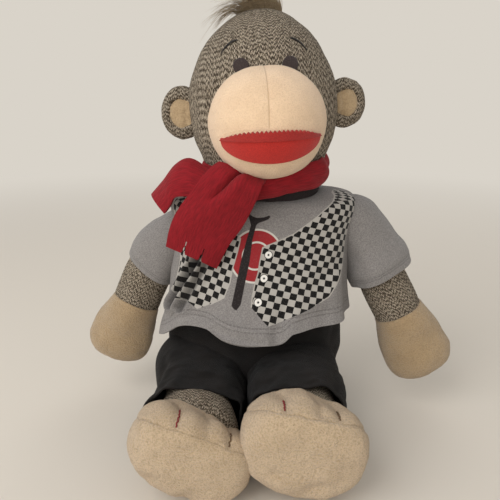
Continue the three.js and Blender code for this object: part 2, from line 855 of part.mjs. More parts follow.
// The room that a swinging sleeve takes
function sleeveRoom(shoulder) {
  const steps = 6;
  const swings = [];
  for (let step = 0; step <= steps; step += 1) {
    const angle = -armSwingBack + (step / steps) * (armSwingForward + armSwingBack);
    const sleeve = sleeveForm(shoulder, -socketClearance, sleeveLength);
    sleeve.rotateY(-shoulder.side * radians(shoulder.armTilt));
    sleeve.rotateX(-radians(shoulder.armSwing + angle));
    const place = shoulderPlace(shoulder);
    sleeve.translate(place.x, place.y, place.z);
    swings.push(solid(sleeve));
  }
  return joined(swings);
}

// Scarf: a band round the neck, a crossing lump, the front end and the side loop
function scarfPieces() {
  const head = headRoom();
  const muzzle = muzzleRoom();
  const sleeve = sleeveRoom(bodySides[1]);
  const cloth = shapedSolid(solid(torsoForm(clothTop + clearance, clothSides, shirtSteps)), shirtRule);
  const band = new THREE.TorusGeometry(scarfHalfWidth, scarfThickness / 2, smallSteps, formSides);
  band.scale(1, scarfHalfDepth / scarfHalfWidth, scarfWidth / scarfThickness);
  band.rotateX(radians(scarfTilt));
  band.rotateY(-radians(scarfSideTilt));
  band.translate(neckPlace.x, neckPlace.y, neckHeight - scarfDrop);
  const front = -scarfHalfDepth - scarfThickness / 2;
  const knotForm = (grow) => {
    const size = [knotHalfWidth, knotHalfDepth, knotHalfHeight].map((half) => half + grow);
    const form = ellipsoid(...size, smallSides, smallSteps);
    form.translate(knotAcross, front + knotHalfDepth / 2, neckHeight - knotDrop);
    return solid(form);
  };
  const loopForm = ellipsoid(loopHalfWidth, loopHalfDepth, loopHalfHeight, smallSides, smallSteps);
  loopForm.rotateY(-radians(loopSlant));
  loopForm.translate(loopAcross, -loopForward, neckHeight);
  const settings = { depth: scarfEndThickness, bevelEnabled: false };
  const end = new THREE.ExtrudeGeometry(scarfEndOutline(), settings);
  end.rotateX(Math.PI / 2);
  end.rotateZ(-radians(scarfEndTurn));
  end.translate(0, -torsoHalfDepth - shirtFrontFullness - clothTop - 2 * clearance, 0);
  const ring = solid(band);
  const knot = cutBy(knotForm(0), [head, muzzle, cloth]);
  const grownKnot = knotForm(clearance);
  const loop = cutBy(solid(loopForm), [head, muzzle, cloth, sleeve, grownKnot, ring]);
  return [
    piece('scarf_wrap', cutBy(ring, [head, muzzle, cloth, grownKnot]), looks.scarf),
    piece('scarf_knot', knot, looks.scarf),
    piece('scarf_loop', loop, looks.scarf),
    piece('scarf_end', cutBy(solid(end), [grownKnot, ring, cloth, muzzle, sleeve]), looks.scarf),
  ];
}

function scarfEndOutline() {
  const outline = new THREE.Shape();
  const slant = radians(scarfEndSlant);
  const at = (across, down) => new THREE.Vector2(
    scarfEndAcross + across * Math.cos(slant) - down * Math.sin(slant),
    neckHeight - scarfEndDrop - across * Math.sin(slant) - down * Math.cos(slant),
  );
  const half = scarfEndWidth / 2;
  const strip = (scarfEndWidth - (fringeCount - 1) * fringeGap) / fringeCount;
  const points = [at(-half, 0)];
  for (let i = 0; i < fringeCount; i += 1) {
    const left = -half + i * (strip + fringeGap);
    if (i > 0) points.push(at(left, scarfEndLength - fringeDepth));
    points.push(at(left, scarfEndLength), at(left + strip, scarfEndLength));
    if (i < fringeCount - 1) points.push(at(left + strip, scarfEndLength - fringeDepth));
  }
  points.push(at(half, 0));
  outline.setFromPoints(points);
  return outline;
}

const doll = new THREE.Group();
doll.position.y = -seatBack;
doll.add(
  ...torsoPieces(),
  neckPiece(),
  ...shirtPieces(),
  trouserSeat(),
  ...scarfPieces(),
  headGroup(),
  ...bodySides.map(armGroup),
  ...bodySides.map(legGroup),
);

const sockMonkey = new THREE.Group();
sockMonkey.add(doll);

export default sockMonkey;
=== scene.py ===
# Looks of the seated sock monkey doll: knit, fleece, felt, a printed shirt, trousers and a scarf.
# Sizes are in millimetres here and are brought to metres as each piece is placed.
import json
import math
import random

import bpy
import numpy as np
from mathutils import Matrix, Vector, noise


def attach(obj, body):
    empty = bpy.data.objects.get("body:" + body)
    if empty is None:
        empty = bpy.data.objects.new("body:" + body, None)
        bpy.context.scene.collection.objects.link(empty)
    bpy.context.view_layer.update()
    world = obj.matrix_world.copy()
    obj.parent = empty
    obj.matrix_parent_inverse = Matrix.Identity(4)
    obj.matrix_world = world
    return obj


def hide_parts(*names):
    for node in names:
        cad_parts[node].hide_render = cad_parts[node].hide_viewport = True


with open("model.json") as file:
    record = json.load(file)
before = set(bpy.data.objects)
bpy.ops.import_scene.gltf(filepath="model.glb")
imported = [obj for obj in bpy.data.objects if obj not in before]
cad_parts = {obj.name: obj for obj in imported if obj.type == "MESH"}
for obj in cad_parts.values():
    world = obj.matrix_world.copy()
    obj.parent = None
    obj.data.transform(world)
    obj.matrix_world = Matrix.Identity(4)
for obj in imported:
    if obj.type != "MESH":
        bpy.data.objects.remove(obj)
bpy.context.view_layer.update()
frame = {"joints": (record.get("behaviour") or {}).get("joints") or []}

mm = 0.001
joints = {joint["name"]: Vector(joint["pos_m"]) for joint in frame["joints"]}
neckPlace = joints["neck_turn"]
shoulderPlaces = {1: joints["arm_left_swing"], -1: joints["arm_right_swing"]}
hipPlaces = {1: joints["leg_left_swing"], -1: joints["leg_right_swing"]}
sideNames = {1: "left", -1: "right"}
bodyY = neckPlace.y / mm  # the body's axis, in millimetres behind the seat point
leanSlope = neckPlace.x / neckPlace.z  # the body leans a little towards its own left
radians = math.radians


# Meshes
def selectOnly(obj):
    bpy.ops.object.select_all(action="DESELECT")
    obj.select_set(True)
    bpy.context.view_layer.objects.active = obj


def applyModifier(obj, kind, **settings):
    selectOnly(obj)
    modifier = obj.modifiers.new(kind.title(), kind)
    for name, value in settings.items():
        setattr(modifier, name, value)
    bpy.ops.object.modifier_apply(modifier=modifier.name)


def pointsOf(obj, what="co"):
    values = np.empty(len(obj.data.vertices) * 3)
    obj.data.vertices.foreach_get(what, values)
    return values.reshape(-1, 3)


def setPoints(obj, points):
    obj.data.vertices.foreach_set("co", np.ascontiguousarray(points).ravel())
    obj.data.update()


def mixed(low, high, share):
    return low + (high - low) * share


def smoothStep(low, high, value):
    share = np.clip((value - low) / (high - low), 0, 1)
    return share * share * (3 - 2 * share)


# A smooth curve through four values, read a share t of the way from the second to the third
def curveThrough(a, b, c, d, t):
    return 0.5 * (2 * b + (c - a) * t + (2 * a - 5 * b + 4 * c - d) * t**2 + (3 * b - a - 3 * c + d) * t**3)


# A smooth line through points, read at shares of its length
def splineAt(points, shares):
    knots = np.array(points, float)
    ends = np.vstack([2 * knots[0] - knots[1], knots, 2 * knots[-1] - knots[-2]])
    steps = np.linspace(0, len(knots) - 1, 24 * len(knots))
    index = np.minimum(steps.astype(int), len(knots) - 2)
    line = curveThrough(*(ends[index + k] for k in range(4)), (steps - index)[:, None])
    reach = np.concatenate([[0], np.cumsum(np.linalg.norm(np.diff(line, axis=0), axis=1))])
    wanted = np.asarray(shares) * reach[-1]
    return np.stack([np.interp(wanted, reach, line[:, k]) for k in range(line.shape[1])], axis=-1)


# A value that changes smoothly with a place, from a table of (place, value)
def valueAt(table, places):
    table = np.array(table, float)
    share = np.interp(places, table[:, 0], np.arange(len(table)))
    index = np.minimum(share.astype(int), len(table) - 2)
    values = np.concatenate([[table[0, 1]], table[:, 1], [table[-1, 1]]])
    return curveThrough(*(values[index + k] for k in range(4)), share - index)


# A soft hump: 1 in the middle, near 0 beyond twice its width
def bell(value, width):
    return np.exp(-((value / width) ** 2))


# A sum of waves round a form, each given as (height, count, shift)
def waves(angle, *rows):
    return sum(height * np.cos(count * angle + shift) for height, count, shift in rows)


# Places round an upright axis, by angle from the front
def ringPlaces(angle, across, deep, height):
    return np.stack([across * np.sin(angle), -deep * np.cos(angle), height + 0 * angle], axis=1)


def lumpsAt(points, size, seed=0.0, octaves=2):
    scaled = points / size + seed * 7.31
    return np.array([noise.fractal(Vector(point), 0.9, 2.1, octaves) for point in scaled])


# A sheet of faces, from a grid that is moved to its place; closed ones are welded into a tube
def clothGrid(name, columns, rows, placeAt, closed=False):
    bpy.ops.mesh.primitive_grid_add(x_subdivisions=columns, y_subdivisions=rows, size=2)
    obj = bpy.context.active_object
    obj.name = obj.data.name = name
    flat = pointsOf(obj)
    setPoints(obj, placeAt((flat[:, 0] + 1) / 2, (flat[:, 1] + 1) / 2))
    if closed:
        weld(obj)
    return obj


def weld(obj, distance=0.001):
    selectOnly(obj)
    bpy.ops.object.mode_set(mode="EDIT")
    bpy.ops.mesh.select_all(action="SELECT")
    bpy.ops.mesh.remove_doubles(threshold=distance)
    bpy.ops.mesh.normals_make_consistent(inside=False)
    bpy.ops.object.mode_set(mode="OBJECT")


# A closed stuffed form, from a sphere that is moved to its shape by angle (0 at the front) and height share
def stuffedForm(name, around, along, placeAt):
    bpy.ops.mesh.primitive_uv_sphere_add(segments=around, ring_count=along, radius=1)
    obj = bpy.context.active_object
    obj.name = obj.data.name = name
    ball = pointsOf(obj)
    angle = np.arctan2(ball[:, 0], -ball[:, 1])
    share = np.arccos(np.clip(-ball[:, 2], -1, 1)) / math.pi
    setPoints(obj, placeAt(angle, share))
    return obj


def profileForm(name, profileShares, halfWidth, halfDepth, height, around=96, along=64):
    def placeAt(angle, share):
        line = splineAt(profileShares, share)
        across = np.maximum(line[:, 0], 0)
        return ringPlaces(angle, halfWidth * across, halfDepth * across, height * line[:, 1])
    return stuffedForm(name, around, along, placeAt)


def pushOut(obj, distances):
    setPoints(obj, pointsOf(obj) + pointsOf(obj, "normal") * distances[:, None])


# Brings a piece's own map to the true size of its cloth
def scaleUv(obj, width, length):
    layer = obj.data.uv_layers.active.data
    values = np.empty(len(layer) * 2)
    layer.foreach_get("uv", values)
    values = values.reshape(-1, 2) * (width * mm, length * mm)
    layer.foreach_set("uv", values.ravel())


# Lays a knit round a form at its true width, from the middle of the front to a seam down the back
def wrapUv(obj, halfWidth, halfDepth, length):
    points = pointsOf(obj)
    angle = np.arctan2(points[:, 0] / halfWidth, -points[:, 1] / halfDepth)
    radius = np.hypot(points[:, 0] / halfWidth, points[:, 1] / halfDepth) * (halfWidth + halfDepth) / 2
    layer = obj.data.uv_layers.active.data
    for face in obj.data.polygons:
        turns = [angle[i] for i in face.vertices]
        if max(turns) - min(turns) > math.pi:
            turns = [turn + 2 * math.pi if turn < 0 else turn for turn in turns]
        for loop, corner, turn in zip(face.loop_indices, face.vertices, turns):
            layer[loop].uv = (turn * radius[corner] * mm, layer[loop].uv.y * length * mm)


def setAttribute(obj, name, values):
    attribute = obj.data.attributes.new(name, "FLOAT", "POINT")
    attribute.data.foreach_set("value", np.asarray(values, np.float32))


def turned(place, *turns):
    matrix = Matrix.Translation(place)
    for angle, axis in turns:
        matrix = matrix @ Matrix.Rotation(radians(angle), 4, axis)
    return matrix @ Matrix.Scale(mm, 4)


atOrigin = turned((0, 0, 0))


# Gives a sheet its thickness: outwards with an offset of 1, inwards with -1, both ways with 0
def thicken(obj, thickness, offset=-1, edge=0.4, segments=2):
    applyModifier(obj, "SOLIDIFY", thickness=thickness, offset=offset)
    applyModifier(obj, "BEVEL", width=edge, segments=segments, limit_method="ANGLE")


# Puts a piece in its place, gives it its material and says what it rides on and stands for
def finishPiece(obj, matrix, material, body, replaces):
    obj.data.transform(matrix)
    obj.data.update()
    obj.data.materials.clear()
    obj.data.materials.append(material)
    obj.data.shade_smooth()
    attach(obj, body)
    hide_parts(*replaces)


def declareSheet(flat):
    flat[0] * mm
    flat[1] * mm


# Materials
class Socket:  # a shader output that takes part in sums
    def __init__(self, graph, socket):
        self.graph = graph
        self.socket = socket

    def __add__(self, other):
        return self.graph.math("ADD", self, other)

    def __sub__(self, other):
        return self.graph.math("SUBTRACT", self, other)

    def __rsub__(self, other):
        return self.graph.math("SUBTRACT", other, self)

    def __mul__(self, other):
        return self.graph.math("MULTIPLY", self, other)

    def __truediv__(self, other):
        return self.graph.math("DIVIDE", self, other)

    def __mod__(self, other):
        return self.graph.math("FLOORED_MODULO", self, other)

    def __gt__(self, other):
        return self.graph.math("GREATER_THAN", self, other)

    __radd__ = __add__
    __rmul__ = __mul__


class Finish:  # a material, with short ways to add nodes to it
    def __init__(self, name, roughness=0.9, sheen=0.0, sheenTint=(1, 1, 1)):
        self.material = bpy.data.materials.new(name)
        self.material.use_nodes = True
        self.tree = self.material.node_tree
        self.shader = self.tree.nodes["Principled BSDF"]
        self.shader.inputs["Roughness"].default_value = roughness
        self.shader.inputs["Specular IOR Level"].default_value = 0.25
        self.shader.inputs["Sheen Weight"].default_value = sheen
        self.shader.inputs["Sheen Roughness"].default_value = 0.5
        self.shader.inputs["Sheen Tint"].default_value = (*sheenTint, 1)

    def put(self, target, value):
        if isinstance(value, Socket):
            self.tree.links.new(value.socket, target)
        else:
            target.default_value = value

    def node(self, kind, values=None, output=0, **settings):
        made = self.tree.nodes.new(kind)
        for name, value in settings.items():
            setattr(made, name, value)
        for name, value in (values or {}).items():
            self.put(made.inputs[name], value)
        return Socket(self, made.outputs[output])

    def math(self, operation, *values):
        return self.node("ShaderNodeMath", dict(enumerate(values)), operation=operation)

    def mix(self, factor, first, second):
        return self.node("ShaderNodeMix", {0: factor, 6: first, 7: second}, output=2, data_type="RGBA")

    def within(self, low, high, value):
        return self.node(
            "ShaderNodeMapRange", {0: value, 1: low, 2: high}, interpolation_type="SMOOTHSTEP",
        )

    def parts(self, vector):
        made = self.tree.nodes.new("ShaderNodeSeparateXYZ")
        self.put(made.inputs[0], vector)
        return [Socket(self, output) for output in made.outputs]

    def vector(self, x, y, z=0.0):
        return self.node("ShaderNodeCombineXYZ", {0: x, 1: y, 2: z})

    def objectPlace(self):
        return self.node("ShaderNodeTexCoord", output="Object")

    def clothPlace(self):
        return self.node("ShaderNodeUVMap")

    def attribute(self, name):
        return self.node("ShaderNodeAttribute", output="Fac", attribute_name=name)

    def noiseAt(self, place, size, detail=2.0):
        return self.node("ShaderNodeTexNoise", {
            "Vector": place, "Scale": 1 / (size * mm), "Detail": detail, "Roughness": 0.6,
        })

    def bump(self, height, distance):
        normal = self.node("ShaderNodeBump", {"Height": height, "Distance": distance * mm, "Strength": 1.0})
        self.put(self.shader.inputs["Normal"], normal)

    def colour(self, value):
        self.put(self.shader.inputs["Base Color"], value)


# A colour as it is seen on a screen, brought to the shader's own scale
def tint(code):
    values = [int(code[i:i + 2], 16) / 255 for i in (1, 3, 5)]
    return tuple(((v + 0.055) / 1.055) ** 2.4 if v > 0.04045 else v / 12.92 for v in values) + (1,)


# Knit of two-coloured yarn: columns of slanted stitch legs, each leg with its own share of light yarn, and
# painted shade in the gaps between the legs and rows
marl = {
    "dark": "#483b2d", "middle": "#8f7e68", "light": "#e6d6be", "gap": "#2f2922", "legWidth": 0.92,
    "rowHeight": 1.42, "slant": 1.0, "twists": 0.45, "sheenTint": (1.0, 0.86, 0.7),
}


def knitFinish():
    f = Finish("marledKnit", roughness=0.95, sheen=0.08, sheenTint=marl["sheenTint"])
    x, y, _ = f.parts(f.clothPlace())
    leg = x / (marl["legWidth"] * mm)
    column = f.math("FLOOR", leg)
    across = leg - column
    side = (column % 2) * 2 - 1
    run = y / (marl["rowHeight"] * mm) + (across - 0.5) * side * marl["slant"]
    row = f.math("FLOOR", run)
    down = run - row
    perStitch = f.node("ShaderNodeTexWhiteNoise", {"Vector": f.vector(column, row)}, output="Value")
    perColumn = f.node("ShaderNodeTexWhiteNoise", {"Vector": f.vector(column, 0.5)}, output="Value")
    plies = f.node("ShaderNodeTexNoise", {
        "Vector": f.vector(leg * 2.3, run * 1.3), "Scale": 1.0, "Detail": 2.0,
    })
    twist = f.math("SINE", (run * marl["twists"] + perColumn * 5.0 + plies * 1.6) * 2 * math.pi)
    tone = twist * 0.4 + perStitch * 0.5 + 0.23
    round_ = f.math("SINE", across * math.pi) * f.math("POWER", f.math("SINE", down * math.pi), 0.4)
    yarn = f.mix(f.within(0.2, 0.46, tone), tint(marl["dark"]), tint(marl["middle"]))
    yarn = f.mix(f.within(0.5, 0.74, tone), yarn, tint(marl["light"]))
    # painted shade: the gap colour darkens each leg where it rounds away into the gaps between legs and rows
    f.colour(f.mix(f.within(0.0, 0.75, round_), tint(marl["gap"]), yarn))
    f.bump(round_ * 0.8 + f.noiseAt(f.objectPlace(), 0.5) * 0.35, 0.9)
    return f.material


# Fleece and plush: a short pile in small curls with painted shade in the hollows between curls, and a darker
# line along a seam where the piece has one, which is painted shade in the seam's groove together with the
# seam's own brownish colour
def pileFinish(name, colour, shade, curlSize, depth, contrast=0.5, seam=None):
    f = Finish(name, roughness=0.95, sheen=0.35)
    place = f.objectPlace()
    curls = f.noiseAt(place, curlSize, detail=2.5)
    patches = f.noiseAt(place, curlSize * 14, detail=1.0)
    fibres = f.noiseAt(place, curlSize * 0.3, detail=1.0)
    # painted shade: the hollows between the curls are mixed towards the shade colour
    base = f.mix(f.within(0.28, 0.62, curls) * contrast + (1 - contrast), tint(shade), tint(colour))
    base = f.mix(f.within(0.35, 0.75, patches) * 0.22, base, tint(shade))
    height = curls + fibres * 0.35
    if seam:
        off = f.math("ABSOLUTE", f.attribute("seamSide") + (curls - 0.5) * 0.6 * mm)
        line = 1 - f.within(seam["width"] * 0.2 * mm, seam["width"] * mm, off)
        # the seam line is painted shade in the seam's groove, together with the seam's own brownish colour
        base = f.mix(line * seam["depth"], base, tint(seam["colour"]))
        height = height - line * 0.2
    f.colour(base)
    f.bump(height, depth)
    return f.material


def feltFinish(name, colour, shade):
    f = Finish(name, roughness=0.9, sheen=0.2)
    fibres = f.noiseAt(f.objectPlace(), 0.7, detail=3.0)
    f.colour(f.mix(f.within(0.3, 0.7, fibres), tint(shade), tint(colour)))
    f.bump(fibres, 0.25)
    return f.material


# Fleece with fine ribs along the scarf, the valleys of the ribs painted darker as shade and the ridges lighter
# as light
ribbing = {"colour": "#8a151e", "shade": "#741018", "width": 1.1, "length": 9.0, "sheenTint": (1.0, 0.35, 0.35)}


def scarfFinish():
    f = Finish("ribbedScarf", roughness=0.9, sheen=0.15, sheenTint=ribbing["sheenTint"])
    x, y, _ = f.parts(f.clothPlace())
    wander = f.noiseAt(f.clothPlace(), 9.0, detail=1.0)
    ribs = f.node("ShaderNodeTexNoise", {
        "Vector": f.vector(x / (ribbing["width"] * mm) + wander * 1.5, y / (ribbing["length"] * mm)),
        "Scale": 1.0, "Detail": 2.0,
    })
    height = ribs + f.noiseAt(f.objectPlace(), 0.6) * 0.3
    # painted shade and light: low parts of the ribs take the shade colour, high parts the lighter colour
    f.colour(f.mix(f.within(0.4, 0.85, height), tint(ribbing["shade"]), tint(ribbing["colour"])))
    f.bump(height, 0.55)
    return f.material


# Sine waves along one way of a cloth, with a width in millimetres
def ridges(f, along, width):
    return f.math("SINE", along / (width * mm) * 2 * math.pi)


def ribFinish():
    f = Finish("collarRib", roughness=0.9, sheen=0.1)
    ribs = ridges(f, f.parts(f.clothPlace())[0], 1.1)
    # painted shade: the valleys between the ribs are darker and the ridges lighter
    f.colour(f.mix(f.within(-0.8, 0.8, ribs), tint("#1f1616"), tint("#3a2c2b")))
    f.bump(ribs, 0.3)
    return f.material


# Heathered jersey, and the two rows of fine stitches above its hems
jersey = {
    "colour": "#918c88", "shade": "#74706d", "wale": 0.9, "thread": "#5d5854", "threadShare": 0.35,
    "stitchLength": 2.6, "stitchWidth": 0.55, "stitchGap": 0.25, "stitchDepth": 0.8,
}


def jerseyCloth(f):
    specks = f.noiseAt(f.objectPlace(), 0.9, detail=3.0)
    wales = ridges(f, f.parts(f.clothPlace())[0], jersey["wale"])
    cloth = f.mix(f.within(0.3, 0.7, specks), tint(jersey["shade"]), tint(jersey["colour"]))
    return cloth, specks * 0.6 + wales * 0.12


def sewHem(f, colour, grain, along, rise, heights):
    width = jersey["stitchWidth"] * mm
    marks = []
    for height in heights:
        line = 1 - f.within(width * 0.4, width, f.math("ABSOLUTE", rise - height * mm))
        marks.append(line * ((along / (jersey["stitchLength"] * mm)) % 1.0 > jersey["stitchGap"]))
    marks = f.math("MAXIMUM", *marks)
    f.colour(f.mix(marks * jersey["threadShare"], colour, tint(jersey["thread"])))
    f.bump(grain - marks * jersey["stitchDepth"], 0.5)
    return f.material


def sleeveFinish():
    f = Finish("sleeveJersey", roughness=0.9, sheen=0.2)
    x, y, _ = f.parts(f.clothPlace())
    return sewHem(f, *jerseyCloth(f), x, y, sleeve["stitchRows"])


# The shirt's prints follow its cloth: their edges are kept on the mesh as distances
def shirtFinish():
    f = Finish("printedJersey", roughness=0.9, sheen=0.08)
    cloth, grain = jerseyCloth(f)
    x, y, _ = f.parts(f.clothPlace())
    # the last colour, crease, is no print: it is painted shade for the deepest folds
    ink, white, red, cream, pearl, tie, crease = (tint(code) for code in vestPrint["colours"])

    def inside(name, grow=0.0):
        return 1 - f.within(-0.25 * mm, 0.25 * mm, f.attribute(name) - grow * mm)

    def disc(centre, radius):
        across, up = x - centre[0] * mm, y - centre[1] * mm
        off = f.math("SQRT", across * across + up * up)
        return 1 - f.within((radius - 0.2) * mm, (radius + 0.2) * mm, off)

    turn = radians(vestPrint["turn"])
    along = x * math.cos(turn) + y * math.sin(turn)
    up = y * math.cos(turn) - x * math.sin(turn)
    checks = [
        f.math("FLOOR", way / (size * mm) + shift)
        for way, size, shift in zip((along, up), vestPrint["square"], vestPrint["shift"])
    ]
    vest = f.mix((checks[0] + checks[1]) % 2, ink, white)
    roundel, button = vestPrint["roundel"], vestPrint["buttonRadius"]
    rings = [(roundel["radius"], cream), (roundel["radius"] - roundel["rim"], red)]
    rings += [(roundel["ring"], cream), (roundel["ring"] - roundel["rim"], red)]
    prints = [(disc(roundel["centre"], radius), colour) for radius, colour in rings]
    prints.append((inside("vestEdge", vestPrint["rim"]) * (y > vestPrint["rimFrom"] * mm), white))
    prints.append((inside("vestEdge"), vest))
    for centre in vestPrint["buttons"]:
        for radius, colour in ((button + 0.5, ink), (button, pearl), (vestPrint["buttonHole"], ink)):
            prints.append((disc(centre, radius), colour))
    prints.append((inside("tieEdge"), tie))
    printed = cloth
    for mask, colour in prints:
        printed = f.mix(mask, printed, colour)
    worn = f.within(0.36, 0.5, f.noiseAt(f.objectPlace(), 1.1, detail=3.0))  # ink that the knit breaks up
    printed = f.mix(worn * 0.08 + 0.92, cloth, printed)
    # painted shade: the deepest creases are darkened towards the crease colour by creaseShade
    printed = f.mix(f.attribute("creaseShade"), printed, crease)
    return sewHem(f, printed, grain, x, f.attribute("hemRise"), shirt["stitchRows"])


def cottonFinish():
    f = Finish("blackCotton", roughness=0.9, sheen=0.05)
    x, y, _ = f.parts(f.clothPlace())
    fade = f.noiseAt(f.objectPlace(), 22.0)
    lint = f.noiseAt(f.objectPlace(), 0.8)
    base = f.mix(f.within(0.35, 0.7, fade), tint("#110e0c"), tint("#1a1512"))
    f.colour(f.mix(f.within(0.62, 0.8, lint) * 0.35, base, tint("#2b241e")))
    f.bump(ridges(f, x + y * 1.4, 0.8) * 0.3 + lint * 0.5, 0.3)
    return f.material


def threadFinish(name, colour, shade):
    f = Finish(name, roughness=0.7, sheen=0.1)
    x, y, z = f.parts(f.objectPlace())
    twist = ridges(f, x + y + z, 0.5)
    # painted shade: the grooves of the twist are darker and its crowns lighter
    f.colour(f.mix(f.within(-0.6, 0.6, twist), tint(shade), tint(colour)))
    f.bump(twist, 0.15)
    return f.material


# Camera, floor and light
photoView = {"place": (0.0, -0.458, 0.266), "down": 16.3, "lens": 37.44, "sensor": 36}
studio = {
    "floorSize": 12.0, "floorColour": "#dad2c6", "backColour": "#d9d3c9", "fade": (0.35, 1.6), "world": 0.55,
    "worldColour": (1, 0.985, 0.96, 1),
}
lamps = {
    "key": {"place": (-0.85, -0.8, 1.15), "aim": (0, -0.05, 0.15), "size": 1.1, "power": 10.6},
    "front": {"place": (-0.25, -1.15, 0.34), "aim": (0, -0.05, 0.2), "size": 1.2, "power": 6.2},
    "rim": {"place": (0.3, 0.9, 0.9), "aim": (0, 0, 0.2), "size": 0.8, "power": 2.0},
}


def buildStage():
    camera = bpy.data.objects.new("camera", bpy.data.cameras.new("camera"))
    camera.data.lens = photoView["lens"]
    camera.data.sensor_width = photoView["sensor"]
    camera.location = photoView["place"]
    camera.rotation_euler = (radians(90 - photoView["down"]), 0, 0)
    bpy.context.scene.collection.objects.link(camera)
    bpy.context.scene.camera = camera
    bpy.ops.mesh.primitive_plane_add(size=studio["floorSize"])
    floor = bpy.context.active_object
    floor.name = "floor"
    paint = Finish("floorPaint", roughness=0.7)
    paint.colour(tint(studio["floorColour"]))
    x, y, _ = paint.parts(paint.objectPlace())
    far = paint.within(*studio["fade"], paint.math("SQRT", x * x + y * y))
    seenShare = far * paint.node("ShaderNodeLightPath")
    pale = paint.node("ShaderNodeEmission", {"Color": tint(studio["backColour"])})
    lit = Socket(paint, paint.shader.outputs[0])
    surface = paint.node("ShaderNodeMixShader", {0: seenShare, 1: lit, 2: pale})
    paint.put(paint.tree.nodes["Material Output"].inputs["Surface"], surface)
    floor.data.materials.append(paint.material)
    world = bpy.data.worlds.new("studio")
    bpy.context.scene.world = world
    world.use_nodes = True
    nodes, links = world.node_tree.nodes, world.node_tree.links
    light = nodes["Background"]
    light.inputs["Color"].default_value = studio["worldColour"]
    light.inputs["Strength"].default_value = studio["world"]
    seen = nodes.new("ShaderNodeBackground")
    seen.inputs["Color"].default_value = tint(studio["backColour"])
    path = nodes.new("ShaderNodeLightPath")
    either = nodes.new("ShaderNodeMixShader")
    links.new(path.outputs["Is Camera Ray"], either.inputs[0])
    links.new(light.outputs[0], either.inputs[1])
    links.new(seen.outputs[0], either.inputs[2])
    links.new(either.outputs[0], nodes["World Output"].inputs[0])
    for name, lamp in lamps.items():
        made = bpy.data.objects.new(name, bpy.data.lights.new(name, "AREA"))
        made.data.size = lamp["size"]
        made.data.energy = lamp["power"]
        made.location = lamp["place"]
        made.rotation_euler = (Vector(lamp["aim"]) - made.location).to_track_quat("-Z", "Y").to_euler()
        bpy.context.scene.collection.objects.link(made)
    bpy.context.scene.view_settings.view_transform = "Standard"


# Head
head = {
    "halfWidth": 58.5, "halfDepth": 53, "height": 132, "drop": 5, "turn": 2.5, "roll": 2.5,
    "profileShares": [
        (0, 0), (0.5, 0.015), (0.78, 0.09), (0.87, 0.174), (0.95, 0.265), (1, 0.394),
        (0.99, 0.545), (0.92, 0.652), (0.786, 0.773), (0.58, 0.879), (0.29, 0.97), (0, 1),
    ],
}
muzzle = {
    "halfWidth": 43, "halfDepth": 46, "halfHeight": 39.5, "forward": 42, "rise": 44.5, "seamDepth": 0.4,
    "chin": 1.06, "seamShift": -2, "seamWidths": (2.4, 9), "wander": 0.5,
    "profileShares": [
        (0, 0), (0.39, 0.04), (0.71, 0.146), (0.92, 0.31), (1, 0.5), (0.92, 0.69), (0.71, 0.854),
        (0.39, 0.96), (0, 1),
    ],
}


def headMatrix():
    return turned(neckPlace, (-head["roll"], "Y"), (head["turn"], "Z"))


def buildHead():
    obj = profileForm(
        "headKnit", head["profileShares"], head["halfWidth"], head["halfDepth"], head["height"], 128, 96,
    )
    points = pointsOf(obj)
    points[:, 2] -= head["drop"]
    setPoints(obj, points)
    pushOut(obj, lumpsAt(points, 38, seed=1) * 1.1 + lumpsAt(points, 12, seed=2) * 0.3)
    wrapUv(obj, head["halfWidth"], head["halfDepth"], head["height"] + head["halfWidth"] * 0.9)
    finishPiece(obj, headMatrix(), knit, "head", ["head", "head_stuffing"])
    return obj


def buildMuzzle():
    obj = profileForm(
        "muzzleFleece", muzzle["profileShares"], muzzle["halfWidth"], muzzle["halfDepth"],
        2 * muzzle["halfHeight"], 128, 80,
    )
    points = pointsOf(obj)
    points[:, 1] -= muzzle["forward"]
    points[:, 2] -= muzzle["halfHeight"]
    points[:, 2] *= np.where(points[:, 2] < 0, muzzle["chin"], 1)
    points[:, 2] += muzzle["rise"]
    setPoints(obj, points)
    front = smoothStep(0, 12, -(points[:, 1] + muzzle["forward"]))
    aboveMouth = smoothStep(muzzle["rise"] - 4, muzzle["rise"] + 3, points[:, 2])
    bend = muzzle["wander"] * np.sin((points[:, 2] - muzzle["rise"]) / 18)
    across = points[:, 0] - muzzle["seamShift"] - bend
    fine, broad = muzzle["seamWidths"]
    dip = bell(across, fine) * muzzle["seamDepth"] + bell(across, broad) * 0.6
    pushOut(obj, lumpsAt(points, 22, seed=3) * 0.5 - dip * front * aboveMouth)
    setAttribute(obj, "seamSide", np.where(aboveMouth > 0, across, 50) * mm)
    finishPiece(obj, headMatrix(), muzzleFleece, "head", ["muzzle"])
    return obj


patch = {"reach": 150.0, "lift": 0.15, "edge": 0.35}


# A thin patch with an outline drawn from the front, laid on a form by casting it straight back
def patchOn(name, form, columns, rows, outlineAt, thickness, lift=patch["lift"]):
    target = form.copy()
    target.data = form.data.copy()
    target.data.transform(headMatrix().inverted())
    target.parent = None
    bpy.context.scene.collection.objects.link(target)
    bpy.context.view_layer.update()

    def placeAt(s, t):
        across, up = outlineAt(s, t)
        placed = []
        for x, z in zip(across, up):
            hit, place, normal, _ = target.ray_cast(Vector((x, -patch["reach"], z)), Vector((0, 1, 0)))
            placed.append(place + normal * lift if hit else Vector((x, 0, z)))
        return np.array(placed)

    obj = clothGrid(name, columns, rows, placeAt)
    bpy.data.objects.remove(target)
    facing = pointsOf(obj, "normal")[:, 1].mean()
    thicken(obj, thickness, 1 if facing < 0 else -1, thickness * patch["edge"])
    return obj


mouth = {
    "halfWidth": 33.2, "creaseDrop": 9.5, "upper": 5.4, "lower": 15.8, "toothDepth": 1.6, "teeth": 24,
    "thickness": 1.3,
}


